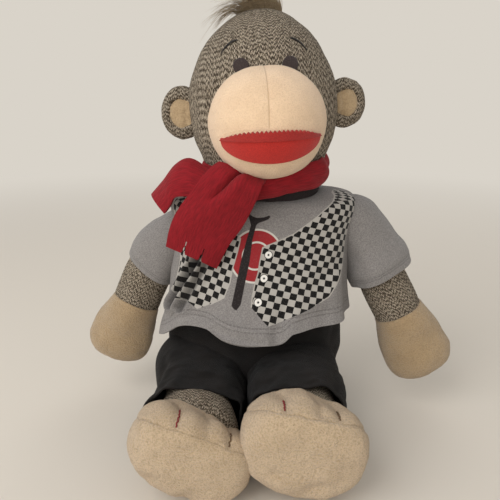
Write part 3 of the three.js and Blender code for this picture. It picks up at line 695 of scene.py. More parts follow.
def buildMouth(form):
    crease = muzzle["rise"] - mouth["creaseDrop"]

    def lowerAt(s, t):
        across = 2 * s - 1
        depth = mouth["lower"] * np.sqrt(np.maximum(1 - across**2, 0))
        return across * mouth["halfWidth"], crease + 1.5 - (depth + 1.5) * (1 - t)

    def upperAt(s, t):
        across = 2 * s - 1
        tooth = np.abs((s * mouth["teeth"]) % 1 - 0.5) * 2
        arch = mouth["upper"] * (1 - np.abs(across) ** 3.2) + 0.6
        edge = arch - mouth["toothDepth"] * tooth * (1 - across**4)
        sag = 0.8 * np.cos(across * math.pi / 2)
        return across * mouth["halfWidth"], crease - sag + (edge + sag) * t

    lower = patchOn("lowerLipFelt", form, 96, 24, lowerAt, mouth["thickness"])
    upper = patchOn("upperLipFelt", form, 192, 14, upperAt, mouth["thickness"] * 1.5, lift=0.3)
    finishPiece(lower, headMatrix(), lowerLipFelt, "head", ["lower_lip"])
    finishPiece(upper, headMatrix(), upperLipFelt, "head", ["upper_lip"])


eye = {"radius": 5.5, "spread": 17, "rise": 82.6, "thickness": 1.2}
brow = {
    "spread": 24.5, "rise": 96.5, "halfLength": 6, "climb": 4.2, "arch": 2, "width": 1.25, "thickness": 0.7,
    "lift": 0.4,
}


def buildEyes(form):
    for side, name in sideNames.items():
        def eyeAt(s, t, side=side):
            angle = 2 * math.pi * s
            return (
                side * eye["spread"] + eye["radius"] * t * np.sin(angle),
                eye["rise"] + eye["radius"] * t * np.cos(angle),
            )

        def browAt(s, t, side=side):
            along = 2 * s - 1
            width = brow["width"] * np.sqrt(np.maximum(1 - np.abs(along) ** 2.5, 0.05))
            across = side * (brow["spread"] - along * brow["halfLength"])
            rise = brow["rise"] + brow["climb"] * along + brow["arch"] * (1 - along**2)
            return across, rise + width * (t - 0.5)

        felt = patchOn(f"eyeFelt_{name}", form, 48, 8, eyeAt, eye["thickness"])
        weld(felt)
        finishPiece(felt, headMatrix(), eyeFelt, "head", [f"eye_{name}"])
        thread = patchOn(f"browThread_{name}", form, 40, 4, browAt, brow["thickness"], brow["lift"])
        finishPiece(thread, headMatrix(), browThread, "head", [f"brow_{name}"])


ear = {
    "halfWidth": 18, "halfHeight": {1: 19.4, -1: 20.5}, "halfDepth": 7.5, "out": {1: 65.5, -1: 63.5},
    "rise": {1: 54.5, -1: 52.4}, "facing": 12, "rim": 7.8, "hollow": 5.0, "liningDepth": 2.4,
    "liningGrow": 1.02,
}


# Lays the knit over an ear from its middle outwards, in the same way on the front and on the back
def mapEar(obj, points, halfHeight):
    radius = (ear["halfWidth"] + halfHeight) / 2
    tilts = np.linspace(0, math.pi / 2, 200)
    steps = np.hypot(radius * np.diff(np.sin(tilts)), ear["halfDepth"] * np.diff(np.cos(tilts)))
    lengths = np.concatenate([[0], np.cumsum(steps)])
    out = np.clip(np.hypot(points[:, 0] / ear["halfWidth"], points[:, 2] / halfHeight), 0, 1)
    reach = np.maximum(np.hypot(points[:, 0], points[:, 2]), 1e-6)
    flat = points[:, (0, 2)] * (np.interp(np.arcsin(out), tilts, lengths) / reach * mm)[:, None]
    layer = obj.data.uv_layers.active.data
    for loop in obj.data.loops:
        layer[loop.index].uv = flat[loop.vertex_index]


def buildEars():
    for side, name in sideNames.items():
        halfHeight = ear["halfHeight"][side]
        matrix = headMatrix() @ Matrix.Translation((side * ear["out"][side], 0, ear["rise"][side]))
        matrix = matrix @ Matrix.Rotation(side * radians(ear["facing"]), 4, "Z")

        def rimAt(angle, share, halfHeight=halfHeight):
            across = np.sin(share * math.pi)
            up = -halfHeight * np.cos(share * math.pi)
            return ringPlaces(angle, ear["halfWidth"] * across, ear["halfDepth"] * across, up)

        obj = stuffedForm(f"earKnit_{name}", 72, 56, rimAt)
        points = pointsOf(obj)
        mapEar(obj, points, halfHeight)
        out = np.hypot(points[:, 0] / ear["halfWidth"], points[:, 2] / halfHeight)
        inner = 1 - ear["rim"] / ear["halfWidth"]
        front = points[:, 1] < 0
        sink = (1 - smoothStep(inner - 0.14, inner + 0.1, out)) * ear["hollow"]
        points[:, 1] = np.where(front, points[:, 1] + sink, points[:, 1])
        setPoints(obj, points)
        pushOut(obj, lumpsAt(points, 9, seed=5 + side) * 0.5)
        finishPiece(obj, matrix, knit, "head", [f"ear_{name}"])

        def liningAt(angle, share, halfHeight=halfHeight):
            across = np.sin(share * math.pi)
            up = -(halfHeight - ear["rim"]) * ear["liningGrow"] * np.cos(share * math.pi)
            wide = (ear["halfWidth"] - ear["rim"]) * ear["liningGrow"]
            places = ringPlaces(angle, wide * across, ear["liningDepth"] * across, up)
            return places + (0, ear["hollow"] * 0.95 - ear["halfDepth"], 0)

        lining = stuffedForm(f"earPlush_{name}", 48, 32, liningAt)
        points = pointsOf(lining)
        fold = bell(points[:, 0] + side * 3, 2.2) * 1.2
        pushOut(lining, lumpsAt(points, 8, seed=9 + side) * 1.3 - fold)
        finishPiece(lining, matrix, earPlush, "head", [f"ear_lining_{name}"])


hair = {
    "crown": 126, "dome": 4.5, "halfSpread": (16.5, 10), "strands": 620, "length": 34, "lengths": (0.45, 1.0),
    "shorten": 0.35, "width": 0.45, "widths": (0.7, 1.2), "taper": 0.85, "steps": 9, "lean": -0.34, "fan": 0.5,
    "sweep": -0.25, "droop": (0.2, 1.0), "droops": (0.6, 1.3), "back": (0.4, 0.2), "tangle": 0.2,
    "tangleSize": 5, "stray": 0.07,
}


# A tuft of long fibres that lean to one side: each is a thin three-sided tube that rises and then droops
def buildHair():
    chance = random.Random(7)
    noise.seed_set(7)  # without it the tangles change from run to run
    points, faces = [], []
    for _ in range(hair["strands"]):
        angle, out = chance.uniform(0, 2 * math.pi), math.sqrt(chance.random())
        across, back = out * math.cos(angle), out * math.sin(angle)
        halfWidth, halfDepth = hair["halfSpread"]
        root = Vector((across * halfWidth, back * halfDepth, hair["crown"] - hair["dome"] * out**2))
        stray = Vector([chance.gauss(0, hair["stray"]) for _ in range(3)])
        tangle = noise.noise_vector(root / hair["tangleSize"]) * hair["tangle"] + stray
        aim = Vector((hair["lean"] + hair["fan"] * across, hair["back"][0] * back, 1)) + tangle
        aim.normalize()
        fall = mixed(*hair["droop"], (1 - across) / 2 * chance.uniform(*hair["droops"]))
        droop = Vector((hair["sweep"], hair["back"][1] * back, -fall))
        length = hair["length"] * chance.uniform(*hair["lengths"]) * (1 - hair["shorten"] * max(across, 0))
        width = hair["width"] * chance.uniform(*hair["widths"])
        first = len(points)
        for step in range(hair["steps"] + 1):
            share = step / hair["steps"]
            centre = root + aim * length * share + droop * length * share**2
            taper = width * (1 - hair["taper"] * share)
            for corner in range(3):
                turn = 2 * math.pi * corner / 3
                points.append(centre + Vector((math.cos(turn) * taper, math.sin(turn) * taper, 0)))
        for step in range(hair["steps"]):
            for corner in range(3):
                a, b = first + 3 * step + corner, first + 3 * step + (corner + 1) % 3
                faces.append((a, b, b + 3, a + 3))
        faces.append((first + 2, first + 1, first))
        tip = first + 3 * hair["steps"]
        faces.append((tip, tip + 1, tip + 2))
    mesh = bpy.data.meshes.new("hairFibres")
    mesh.from_pydata(points, [], faces)
    obj = bpy.data.objects.new("hairFibres", mesh)
    bpy.context.scene.collection.objects.link(obj)
    finishPiece(obj, headMatrix(), hairFibre, "head", ["hair_tuft"])


# Arms
arm = {
    "length": {1: 85, -1: 80}, "wrist": 20, "middle": 20.5, "inward": {1: 0, -1: 1},
    "mittLength": {1: 67, -1: 65}, "mittHalfWidth": {1: 29.5, -1: 28.5}, "mittHalfDepth": 20.5,
    "cuffDrop": {1: 5, -1: 5}, "cuffSlope": {1: 0.06, -1: 0.32}, "cuffRound": 0.5,
    "tilt": {1: 27, -1: 25}, "swing": {1: 6, -1: -5}, "inMitt": 10, "inSleeve": 4, "waist": 1.8,
    "mittShares": [
        (0, 0), (0.46, 0.015), (0.79, 0.08), (0.97, 0.22), (1, 0.36), (0.94, 0.6),
        (0.8, 0.86), (0.72, 0.98), (0.7, 0.995), (0.4, 1), (0, 1),
    ],
}
# Each row of a sleeve: its height from the shoulder, how far it lies outwards and its radius
sleeve = {
    "rows": {
        1: [
            (21, -4, 6), (17.5, -3, 14), (8, -0.5, 20), (-4, 1, 21.8), (-25, 2, 24.8),
            (-42, 2, 28.5), (-53, 1, 27.8),
        ],
        -1: [
            (14, -14, 8), (8, -13.5, 14.5), (-3, -10, 18.8), (-11, -7, 20.8), (-26, -4, 23.4),
            (-38, -2.5, 24), (-48, -2.5, 23.3),
        ],
    },
    "folds": {1: 1, -1: 0.55}, "slant": {1: 0.5, -1: 5}, "thickness": 1.3, "stitchRows": (6.0, 8.4),
    "reach": 95, "flat": {1: (175, 85), -1: (150, 72)}, "area": {1: 11000, -1: 8150},
}


def armMatrix(side):
    return turned(shoulderPlaces[side], (-arm["swing"][side], "X"), (-side * arm["tilt"][side], "Y"))


def buildArms():
    for side, name in sideNames.items():
        length, inward = arm["length"][side], -side * arm["inward"][side]

        def tubeAt(angle, share, side=side, length=length, inward=inward):
            rows = list(reversed(sleeve["rows"][side]))
            end = -length - arm["inMitt"]
            ends = [(0, end), (arm["wrist"] * 0.7, end), (arm["wrist"], end + 4)]
            middle = [(arm["middle"], -length * 0.75), (arm["middle"] - arm["waist"], -length * 0.5)]
            tops = [(radius - arm["inSleeve"], height) for height, _, radius in rows if height > -30]
            line = splineAt(ends + middle + tops + [(0, tops[-1][1] + 1)], share)
            shift = side * valueAt([row[:2] for row in rows], line[:, 1])
            places = ringPlaces(angle, line[:, 0], line[:, 0], line[:, 1])
            places[:, 0] += mixed(inward, shift, smoothStep(-40, -10, line[:, 1]))
            return places

        obj = stuffedForm(f"armKnit_{name}", 72, 60, tubeAt)
        points = pointsOf(obj)
        pushOut(obj, lumpsAt(points, 26, seed=11 + side) * 0.9)
        scaleUv(obj, 2 * math.pi * arm["middle"], length + 40)
        knitNodes = [f"arm_{name}", f"arm_stuffing_{name}"]
        finishPiece(obj, armMatrix(side), knit, f"arm_{name}", knitNodes)

        height = arm["mittLength"][side] - arm["cuffDrop"][side]
        mitt = profileForm(
            f"mittFleece_{name}", arm["mittShares"], arm["mittHalfWidth"][side], arm["mittHalfDepth"],
            height, 80, 72,
        )
        points = pointsOf(mitt)
        share = points[:, 2] / height
        points[:, 1] *= 1 + arm["cuffRound"] * smoothStep(0.5, 1, share)
        points[:, 2] -= arm["cuffSlope"][side] * points[:, 1] * smoothStep(0.7, 1, share)
        points[:, 2] -= length + arm["mittLength"][side]
        points[:, 0] += inward
        setPoints(mitt, points)
        lumps = lumpsAt(points, 24, seed=14 + side) * 1.2 + lumpsAt(points, 3.2, seed=2) * 0.22
        pushOut(mitt, lumps - bell(points[:, 1], 1.1) * 0.7)
        finishPiece(mitt, armMatrix(side), mittFleece, f"arm_{name}", [f"mitt_{name}"])
        buildSleeve(side, name)


# A short sleeve: round over the shoulder, then opening towards its cuff
def buildSleeve(side, name):
    rows = np.array(sleeve["rows"][side], float)

    def tubeAt(s, t):
        angle = 2 * math.pi * s
        line = splineAt(rows, 1 - t)
        height, shift, radius = line.T
        tube = smoothStep(0, 40, -height)
        out = radius + tube * sleeve["folds"][side] * waves(angle, (1.1, 3, side), (0.8, 5, 2 * side))
        slant = side * sleeve["slant"][side] * tube * np.sin(angle)
        return ringPlaces(angle, out, out * 0.97, height + slant) + (side, 0, 0) * shift[:, None]

    obj = clothGrid(f"sleeveJersey_{name}", 120, 70, tubeAt, closed=True)
    points = pointsOf(obj)
    low = smoothStep(0, 30, -points[:, 2])
    pushOut(obj, lumpsAt(points, 16, seed=21 + side) * 1.3 * sleeve["folds"][side] * low)
    scaleUv(obj, 2 * math.pi * rows[-1][2], sleeve["reach"])
    thicken(obj, sleeve["thickness"])
    declareSheet(sleeve["flat"][side])
    finishPiece(obj, armMatrix(side), sleeveJersey, f"arm_{name}", [f"sleeve_{name}"])


# Legs and feet
leg = {
    "length": 92, "ankle": {1: 21, -1: 26}, "middle": 23, "root": 28, "sag": {1: 0, -1: 7},
    "inward": {1: 1, -1: 4}, "wide": {1: 0.25, -1: 0.2}, "swell": 7,
}
foot = {
    "halfWidth": 44, "halfHeight": {1: 38, -1: 33.5}, "depth": 56, "reach": 131.5, "inset": 4,
    "roll": {1: 12, -1: 23}, "soleTilt": 38, "seamDrop": {1: -1, -1: 5}, "seamWidth": 1.3, "seamDepth": 0.9,
    "lowShrink": 0.17, "fullness": 0.08, "clearance": 0.4, "toeCreases": [(1.5, 1.1), (6, 2.5)],
    "dents": {
        1: [(8, -17, 5, 3.2), (-17, -9, 4, 2), (14, -13, 4, 2)],
        -1: [(-21, -16, 5, 3.6), (6, -22, 5, 3)],
    },
    "profileShares": [
        (0, 0), (0.45, 0.03), (0.76, 0.14), (0.95, 0.36), (1, 0.58), (0.96, 0.8),
        (0.82, 0.93), (0.5, 0.992), (0, 1),
    ],
    "toeShares": {1: (-0.46, 0.08, 0.38), -1: (-0.42, 0.03, 0.42)},
    "topFall": {
        1: [
            (-44, 3), (-36, 3), (-23, 4), (-15, 2.6), (-8, 1.2), (0, 3), (7, 5.5), (14, 6.5), (22, 4.6),
            (44, 5),
        ],
        -1: [(-44, 1.5), (-36, 3.5), (-30, 5.5), (-17, 7.5), (-9, 8), (0, 7), (14, 10), (23, 10.5), (44, 9)],
    },
}


def footMatrix(side):
    hip = hipPlaces[side]
    matrix = Matrix.Translation((
        hip.x - side * foot["inset"] * mm, hip.y + (foot["depth"] - foot["reach"]) * mm,
        (foot["halfHeight"][side] - 0.5) * mm,
    ))
    return matrix @ Matrix.Rotation(radians(foot["roll"][side]), 4, "Y") @ Matrix.Scale(mm, 4)


def buildLegs():
    for side, name in sideNames.items():
        def tubeAt(angle, share, ankle=leg["ankle"][side]):
            line = splineAt([
                (0, -leg["length"]), (ankle, -leg["length"]), (leg["middle"], -leg["length"] / 2),
                (leg["root"], 0), (leg["root"] * 0.75, 20), (0, 28),
            ], share)
            return ringPlaces(angle, line[:, 0], line[:, 0], line[:, 1])

        obj = stuffedForm(f"legKnit_{name}", 72, 48, tubeAt)
        points = pointsOf(obj)
        down = smoothStep(0, leg["length"], -points[:, 2])
        points[:, 1] += leg["sag"][side] * down
        points[:, 0] *= 1 + leg["wide"][side] * down
        points[:, 0] -= side * leg["inward"][side] * down
        setPoints(obj, points)
        pushOut(obj, lumpsAt(pointsOf(obj), 24, seed=31 + side) * 0.8)
        scaleUv(obj, 2 * math.pi * (leg["middle"] + leg["swell"]), leg["length"] + 50)
        knitNodes = [f"leg_{name}", f"leg_stuffing_{name}"]
        finishPiece(obj, turned(hipPlaces[side], (-90, "X")), knit, f"leg_{name}", knitNodes)
        buildFoot(side, name)


# How far a point of a foot lies above the seam between its sole and its upper
def aboveSeam(points, side):
    tilt = radians(foot["soleTilt"])
    rise = foot["halfHeight"][side] - foot["seamDrop"][side]
    return (points[:, 2] - rise) * math.cos(tilt) + (points[:, 1] + foot["depth"]) * math.sin(tilt)


def buildFoot(side, name):
    obj = profileForm(
        f"footPlush_{name}", foot["profileShares"], foot["halfWidth"], foot["halfHeight"][side], foot["depth"],
        150, 110,
    )
    obj.data.transform(Matrix.Rotation(radians(90), 4, "X"))
    obj.data.update()
    points = pointsOf(obj)
    turn = np.arctan2(points[:, 2] / foot["halfHeight"][side], points[:, 0] / foot["halfWidth"])
    points[:, (0, 2)] *= 1 + foot["fullness"] * (np.sin(2 * turn) ** 2 * (points[:, 2] > 0))[:, None]
    lowFront = (points[:, 2] < 0) * smoothStep(-10, -50, points[:, 1])
    points[:, 2] *= 1 - foot["lowShrink"] * lowFront
    over = aboveSeam(points, side) + lumpsAt(points, 14, seed=6) * 1.5
    fall = valueAt(foot["topFall"][side], points[:, 0]) * smoothStep(-44, -16, points[:, 1])
    points[:, 2] -= fall * np.clip(points[:, 2] / foot["halfHeight"][side], 0, 1)
    setPoints(obj, points)
    setAttribute(obj, "seamSide", over * mm)
    creases = np.zeros(len(points))
    for share in foot["toeShares"][side]:
        off = points[:, 0] - share * foot["halfWidth"]
        creases += sum(bell(off, width) * depth for width, depth in foot["toeCreases"])
    creases *= smoothStep(-1, 4, over) * smoothStep(-10, -24, points[:, 1])
    for across, up, size, depth in foot["dents"][side]:
        off = np.hypot(points[:, 0] - across, points[:, 2] - up)
        creases += depth * bell(off, size) * (points[:, 1] < -foot["depth"] * 0.5)
    lumps = lumpsAt(points, 20, seed=41 + side) * 1.3 + lumpsAt(points, 2.4, seed=5, octaves=1) * 0.3
    pushOut(obj, lumps - bell(over, foot["seamWidth"]) * foot["seamDepth"] - creases)
    matrix = footMatrix(side)
    floorAt = matrix.inverted()
    normal = floorAt.to_3x3() @ Vector((0, 0, 1))
    points = pointsOf(obj)
    low = np.array([(matrix @ Vector(point)).z for point in points])
    points += np.outer(np.maximum(foot["clearance"] * mm - low, 0), np.array(normal))
    setPoints(obj, points)
    nodes = [f"foot_upper_{name}", f"foot_sole_{name}"]
    finishPiece(obj, matrix, footPlush, f"leg_{name}", nodes)
    buildToeThreads(side, name, obj)


toeThread = {
    "radius": 0.55, "lift": 0.15, "wiggle": 0.5, "lengths": {"red": {1: 36, -1: 27}, "brown": {1: 20, -1: 15}},
}


# Stitches of thread laid over the upper, from its seam up over the top of the foot
def buildToeThreads(side, name, form):
    matrix = footMatrix(side)
    inverse = matrix.inverted()
    rise = foot["halfHeight"][side] - foot["seamDrop"][side]
    for toe, colour, word in ((0, redThread, "red"), (2, brownThread, "brown")):
        share = foot["toeShares"][side][toe]
        line = []
        for step in range(28):
            angle = radians(-10 + step * 4.5)
            origin = Vector((share * foot["halfWidth"], -foot["depth"] + 20, rise - 18))
            aim = Vector((0, -math.cos(angle), math.sin(angle)))
            back = (matrix.to_3x3() @ -aim).normalized()
            hit, place, _, _ = form.ray_cast(matrix @ (origin + aim * 90), back)
            if hit:
                local = inverse @ place
                if aboveSeam(np.array([local]), side)[0] > 0.2:
                    line.append(local + aim * toeThread["lift"])
        total, kept = 0.0, []
        for a, b in zip(line, line[1:]):
            total += (b - a).length
            if total < toeThread["lengths"][word][side]:
                kept.append(b)
        curve = bpy.data.curves.new(f"toeThread_{word}_{name}", "CURVE")
        curve.dimensions = "3D"
        curve.bevel_depth = toeThread["radius"]
        curve.bevel_resolution = 2
        curve.use_fill_caps = True
        spline = curve.splines.new("POLY")
        spline.points.add(len(kept) - 1)
        for i, place in enumerate(kept):
            wiggle = toeThread["wiggle"] * math.sin(i * 2.4)
            spline.points[i].co = (place.x + wiggle, place.y, place.z, 1)
        obj = bpy.data.objects.new(curve.name, curve)
        bpy.context.scene.collection.objects.link(obj)
        selectOnly(obj)
        bpy.ops.object.convert(target="MESH")
        finishPiece(obj, matrix, colour, f"leg_{name}", [f"toe_thread_{word}_{name}"])


# Trousers
# Each row of a trouser leg: how far forward of the hip, its outer and inner half widths and its top
trousers = {
    "rows": {
        1: [
            (0, 36.5, 41, 74), (20, 35.5, 41.5, 73), (40, 34.5, 41.5, 71), (60, 33, 41, 69), (79, 30.5, 40, 66),
        ],
        -1: [(0, 39, 41, 74), (18, 35, 41.5, 71), (38, 28.5, 41.5, 65), (56, 32, 41, 60.5), (73, 38, 39, 58)],
    },
    "hemLift": {1: 1, -1: 4}, "flat": {1: (245, 130), -1: (235, 124)}, "area": {1: 27000, -1: 25000},
    "ball": 36, "ballShare": 0.28, "floor": 1.6, "thickness": 1.4, "gap": 0.4, "boxiness": (2.0, 3.0),
}


def buildTrouserLegs():
    middle = (hipPlaces[1].x + hipPlaces[-1].x) / 2 / mm
    for side, name in sideNames.items():
        hip = hipPlaces[side] / mm
        rows = np.array(trousers["rows"][side], float)

        def tubeAt(s, t, side=side, hip=hip, rows=rows):
            angle = 2 * math.pi * s  # 0 at the floor, half way round on top
            ballShare = trousers["ballShare"]
            ball = np.clip((ballShare - t) / ballShare, 0, 1) * 1.4
            end = rows[-1][0] - trousers["hemLift"][side] * ((1 - np.cos(angle)) / 2) ** 2
            reach = np.clip((t - ballShare) / (1 - ballShare), 0, 1) * end
            outer, inner, top = (valueAt(rows[:, (0, k)], reach) for k in (1, 2, 3))
            centre = (top + trousers["floor"]) / 2
            high = (top - trousers["floor"]) / 2
            sine, cosine = np.sin(angle) * side, np.cos(angle)
            boxy = 2 / mixed(*trousers["boxiness"], reach / rows[-1][0])
            wide = np.where(sine > 0, outer, inner) * np.abs(sine) ** boxy * np.sign(sine)
            tall = -high * np.abs(cosine) ** boxy * np.sign(cosine)
            folds = reach / rows[-1][0] * waves(angle, (1.3, 5, reach / 20 + side), (0.8, 9, -reach / 12))
            x = side * wide * np.cos(ball) + folds * np.sin(angle)
            z = centre + (tall - folds * cosine) * np.cos(ball)
            return np.stack([hip.x + x, hip.y - reach + trousers["ball"] * np.sin(ball), z], axis=1)

        obj = clothGrid(f"trouserLegCotton_{name}", 140, 110, tubeAt, closed=True)
        points = pointsOf(obj)
        hipShare = smoothStep(5, 40, hip.y - points[:, 1])
        ripples = lumpsAt(points * (1, 1.8, 1), 20, seed=51 + side) * 2.0 + lumpsAt(points, 9, seed=3) * 0.5
        pushOut(obj, ripples * hipShare)
        points = pointsOf(obj)
        points[:, 2] = np.maximum(points[:, 2], trousers["floor"])
        near = side * (points[:, 0] - middle) < trousers["gap"]
        points[:, 0] = np.where(near, middle + side * trousers["gap"], points[:, 0])
        setPoints(obj, points)
        scaleUv(obj, 2 * math.pi * trousers["ball"], rows[-1][0] + 50)
        thicken(obj, trousers["thickness"])
        declareSheet(trousers["flat"][side])
        finishPiece(obj, atOrigin, cotton, f"leg_{name}", [f"trouser_leg_{name}"])


torso = {
    "halfWidth": 66, "halfDepth": 46, "height": 194.5,
    "profileShares": [
        (0, 0), (0.5, 0.0005), (0.8, 0.0015), (0.94, 0.05), (1, 0.2), (1, 0.4),
        (0.96, 0.56), (0.91, 0.74), (0.88, 0.87), (0.74, 0.945), (0.44, 0.99), (0, 1),
    ],
}


def leaned(points):
    points = points.copy()
    points[:, 0] += points[:, 2] * leanSlope
    points[:, 1] += bodyY
    return points


def buildTorso():
    obj = profileForm(
        "torsoKnit", torso["profileShares"], torso["halfWidth"] - 1, torso["halfDepth"] - 1,
        torso["height"] - 3,
    )
    points = leaned(pointsOf(obj))
    points[:, 2] += 2.5
    setPoints(obj, points)
    scaleUv(obj, 2 * math.pi * torso["halfWidth"], torso["height"] * 1.5)
    finishPiece(obj, atOrigin, knit, "torso", ["torso", "torso_stuffing"])


neck = {"radius": 21, "pleats": 14, "pleatDepth": 0.6}


def buildNeck():
    radius = neck["radius"]

    def ballAt(angle, share):
        across = radius * np.sin(share * math.pi)
        return ringPlaces(angle, across, across, -radius * np.cos(share * math.pi))

    obj = stuffedForm("neckKnit", 64, 32, ballAt)
    x, y, _ = pointsOf(obj).T
    pushOut(obj, waves(np.arctan2(x, -y), (neck["pleatDepth"], neck["pleats"], 0)))
    scaleUv(obj, 2 * math.pi * radius, math.pi * radius)
    finishPiece(obj, turned(neckPlace), knit, "neck", ["neck"])


seat = {
    "waist": 96, "thickness": 1.4, "floorShare": 0.3, "cornerShare": 0.12, "flat": (400, 150), "area": 45500,
    "halfWidths": [(0, 58), (12, 68), (34, 74), (58, 76), (80, 74), (100, 70)],
}


# The trousers' seat: up round the hips and under the body, open at the waist
def buildTrouserSeat():
    def shellAt(s, t):
        angle = 2 * math.pi * s
        rise = np.clip((t - seat["floorShare"]) / (1 - seat["floorShare"]), 0, 1)
        floor = np.clip(t / seat["floorShare"], 0, 1)
        corner = np.sqrt(np.maximum(1 - (1 - np.clip(rise / seat["cornerShare"], 0, 1)) ** 2, 0))
        height = 0.5 + seat["waist"] * rise**1.1
        ripple = waves(angle, (1.2, 8, 0)) * rise
        across = valueAt(seat["halfWidths"], height) * floor + ripple
        deep = mixed(torso["halfDepth"] * 0.9, torso["halfDepth"] + 3, corner) * floor + ripple
        return leaned(ringPlaces(angle, across, deep, height))

    obj = clothGrid("trouserSeatCotton", 144, 70, shellAt, closed=True)
    points = pointsOf(obj)
    pushOut(obj, lumpsAt(points, 22, seed=61) * 1.4 * smoothStep(4, 25, points[:, 2]))
    scaleUv(obj, 2 * math.pi * torso["halfWidth"], seat["waist"] + 50)
    applyModifier(obj, "SOLIDIFY", thickness=seat["thickness"], offset=-1)
    declareSheet(seat["flat"])
    finishPiece(obj, atOrigin, cotton, "torso", ["trouser_seat"])


# Shirt
shirt = {
    "neckline": 188.5, "neckRise": [(-180, 4.5), (-90, 6), (-40, 2), (0, 0), (40, 2), (90, 6), (180, 4.5)],
    "thickness": 1.4, "stitchRows": (7.5, 10.5), "chestHalfWidth": 74, "chestDepth": 50, "boxiness": 2.6,
    "turnFrom": 168, "grid": (360, 130), "waves": [(1.8, 7, 0.6), (1.2, 12, 2)], "flat": (430, 130),
    "area": 51500,
    "halfWidths": [
        (60, 84), (84, 82), (105, 78), (130, 75), (150, 73.5), (165, 74), (174, 76), (180, 76.5), (184, 73.5),
        (187, 62), (188.5, 45),
    ],
    "fronts": [
        (60, 82), (84, 77), (105, 63), (130, 52), (150, 47), (165, 44), (176, 41), (184, 36.5), (187, 34),
        (188.5, 32),
    ],
    "backs": [
        (60, 60), (84, 57), (105, 52), (130, 49), (150, 46), (165, 43), (176, 40), (184, 35), (188.5, 31),
    ],
    "hem": [
        (-180, 78), (-120, 73), (-90, 71), (-62, 82), (-42, 95), (-24, 95), (-10, 90), (2, 87), (9, 88),
        (14, 93),
        (25, 95.5), (50, 96), (75, 96), (90, 93), (130, 82), (180, 78),
    ],
    "creases": [
        # shade is how strongly painted shade darkens a crease
        {"start": (-48, 152), "end": (-70, 106), "depth": 6.5, "width": 3.2, "shade": 0.85},
        {"start": (-44, 142), "end": (-60, 106), "depth": 2.6, "width": 2.6, "shade": 0.6},
        {"start": (12, 90), "end": (20, 112), "depth": 1.3, "width": 6.0},
        {"start": (-30, 96), "end": (2, 88), "depth": 1.8, "width": 3.5},
        {"start": (62, 140), "end": (40, 122), "depth": 1.2, "width": 7.0},
    ],
}
vestPrint = {
    # The last colour is painted shade for the shirt's deepest creases; the others are print colours
    "colours": ["#0d0b0a", "#aca79f", "#93262a", "#c9c4ba", "#e6e2da", "#241e1e", "#1d1a18"],
    "square": (5.2, 4.58), "turn": -14.3, "shift": (1.393, 0.07), "rim": 0.9, "rimFrom": 112,
    "buttonRadius": 2.7, "buttonHole": 0.8,
    "buttons": [(5.1, 150), (2.7, 132.4), (-0.8, 115.4)],
    "roundel": {"centre": (-4.5, 149.3), "radius": 20.5, "rim": 1.4, "ring": 11},
    "rightPanel": [
        (59.6, 190.9), (72, 199), (85, 207), (104, 207), (92, 192), (82, 178), (77, 166), (74, 155), (72, 145),
        (70, 137), (63, 129),
        (53.7, 116.1), (38.5, 108.9), (21.2, 103.2), (6.8, 98.7), (2.6, 103.2), (-1.6, 107.9), (-5.2, 111.6),
        (-4.8, 119.8), (-3.7, 127.9), (-1.6, 136.2), (-0.8, 144.9), (0.7, 155.3), (11.1, 159.5), (24.2, 165.4),
        (35.4, 173.7), (45.6, 182.3),
    ],
    "leftPanel": [
        (-17.7, 162.3), (-19.2, 153.5), (-22.2, 140.1), (-23.3, 129.2), (-26.9, 118.4), (-37.5, 112.2),
        (-47.2, 107.7), (-52.5, 111.4), (-59, 113.2), (-66.6, 111), (-71.5, 122.4), (-69.5, 142.9), (-73, 165),
        (-82, 196), (-56, 196), (-45, 184), (-28, 172),
    ],
    "tie": [
        (-10.7, 182.4), (-9.4, 180), (-6.4, 178.2), (-3, 178), (1.4, 178.6), (4.4, 180.6), (5, 179.2),
        (3.2, 176.8), (-0.6, 175.2), (-4.6, 174), (-5.8, 171.8), (-8, 161.4), (-9.2, 144.8), (-11.6, 127.9),
        (-13.4, 114.2), (-16.6, 109.7), (-20.2, 113.1), (-18.2, 127.8), (-16, 144.8), (-12.6, 161.3),
        (-9.6, 172.4), (-10.6, 175.8), (-12, 180.6),
    ],
}


def edgeDistance(outline, x, y):
    corners = np.array(outline, float)
    nearest = np.full(len(x), 1e9)
    inside = np.zeros(len(x), bool)
    for (ax, ay), (bx, by) in zip(corners, np.roll(corners, -1, axis=0)):
        length = (bx - ax) ** 2 + (by - ay) ** 2
        t = np.clip(((x - ax) * (bx - ax) + (y - ay) * (by - ay)) / length, 0, 1)
        nearest = np.minimum(nearest, np.hypot(x - ax - t * (bx - ax), y - ay - t * (by - ay)))
        crosses = ((ay > y) != (by > y)) & (x < (bx - ax) * (y - ay) / ((by - ay) or 1e-9) + ax)
        inside ^= crosses
    return np.where(inside, -nearest, nearest)


# Length round the chest from the middle of the front, by angle
def lengthRound(angle):
    steps = np.linspace(0, math.pi, 400)
    x, y = boxyRing(steps, shirt["chestHalfWidth"], shirt["chestDepth"])
    lengths = np.concatenate([[0], np.cumsum(np.hypot(np.diff(x), np.diff(y)))])
    return np.sign(angle) * np.interp(np.abs(angle), steps, lengths)


def boxyRing(angle, halfWidth, depth):
    sine, cosine, power = np.sin(angle), np.cos(angle), 2 / shirt["boxiness"]
    return (
        halfWidth * np.sign(sine) * np.abs(sine) ** power,
        -depth * np.sign(cosine) * np.abs(cosine) ** power,
    )


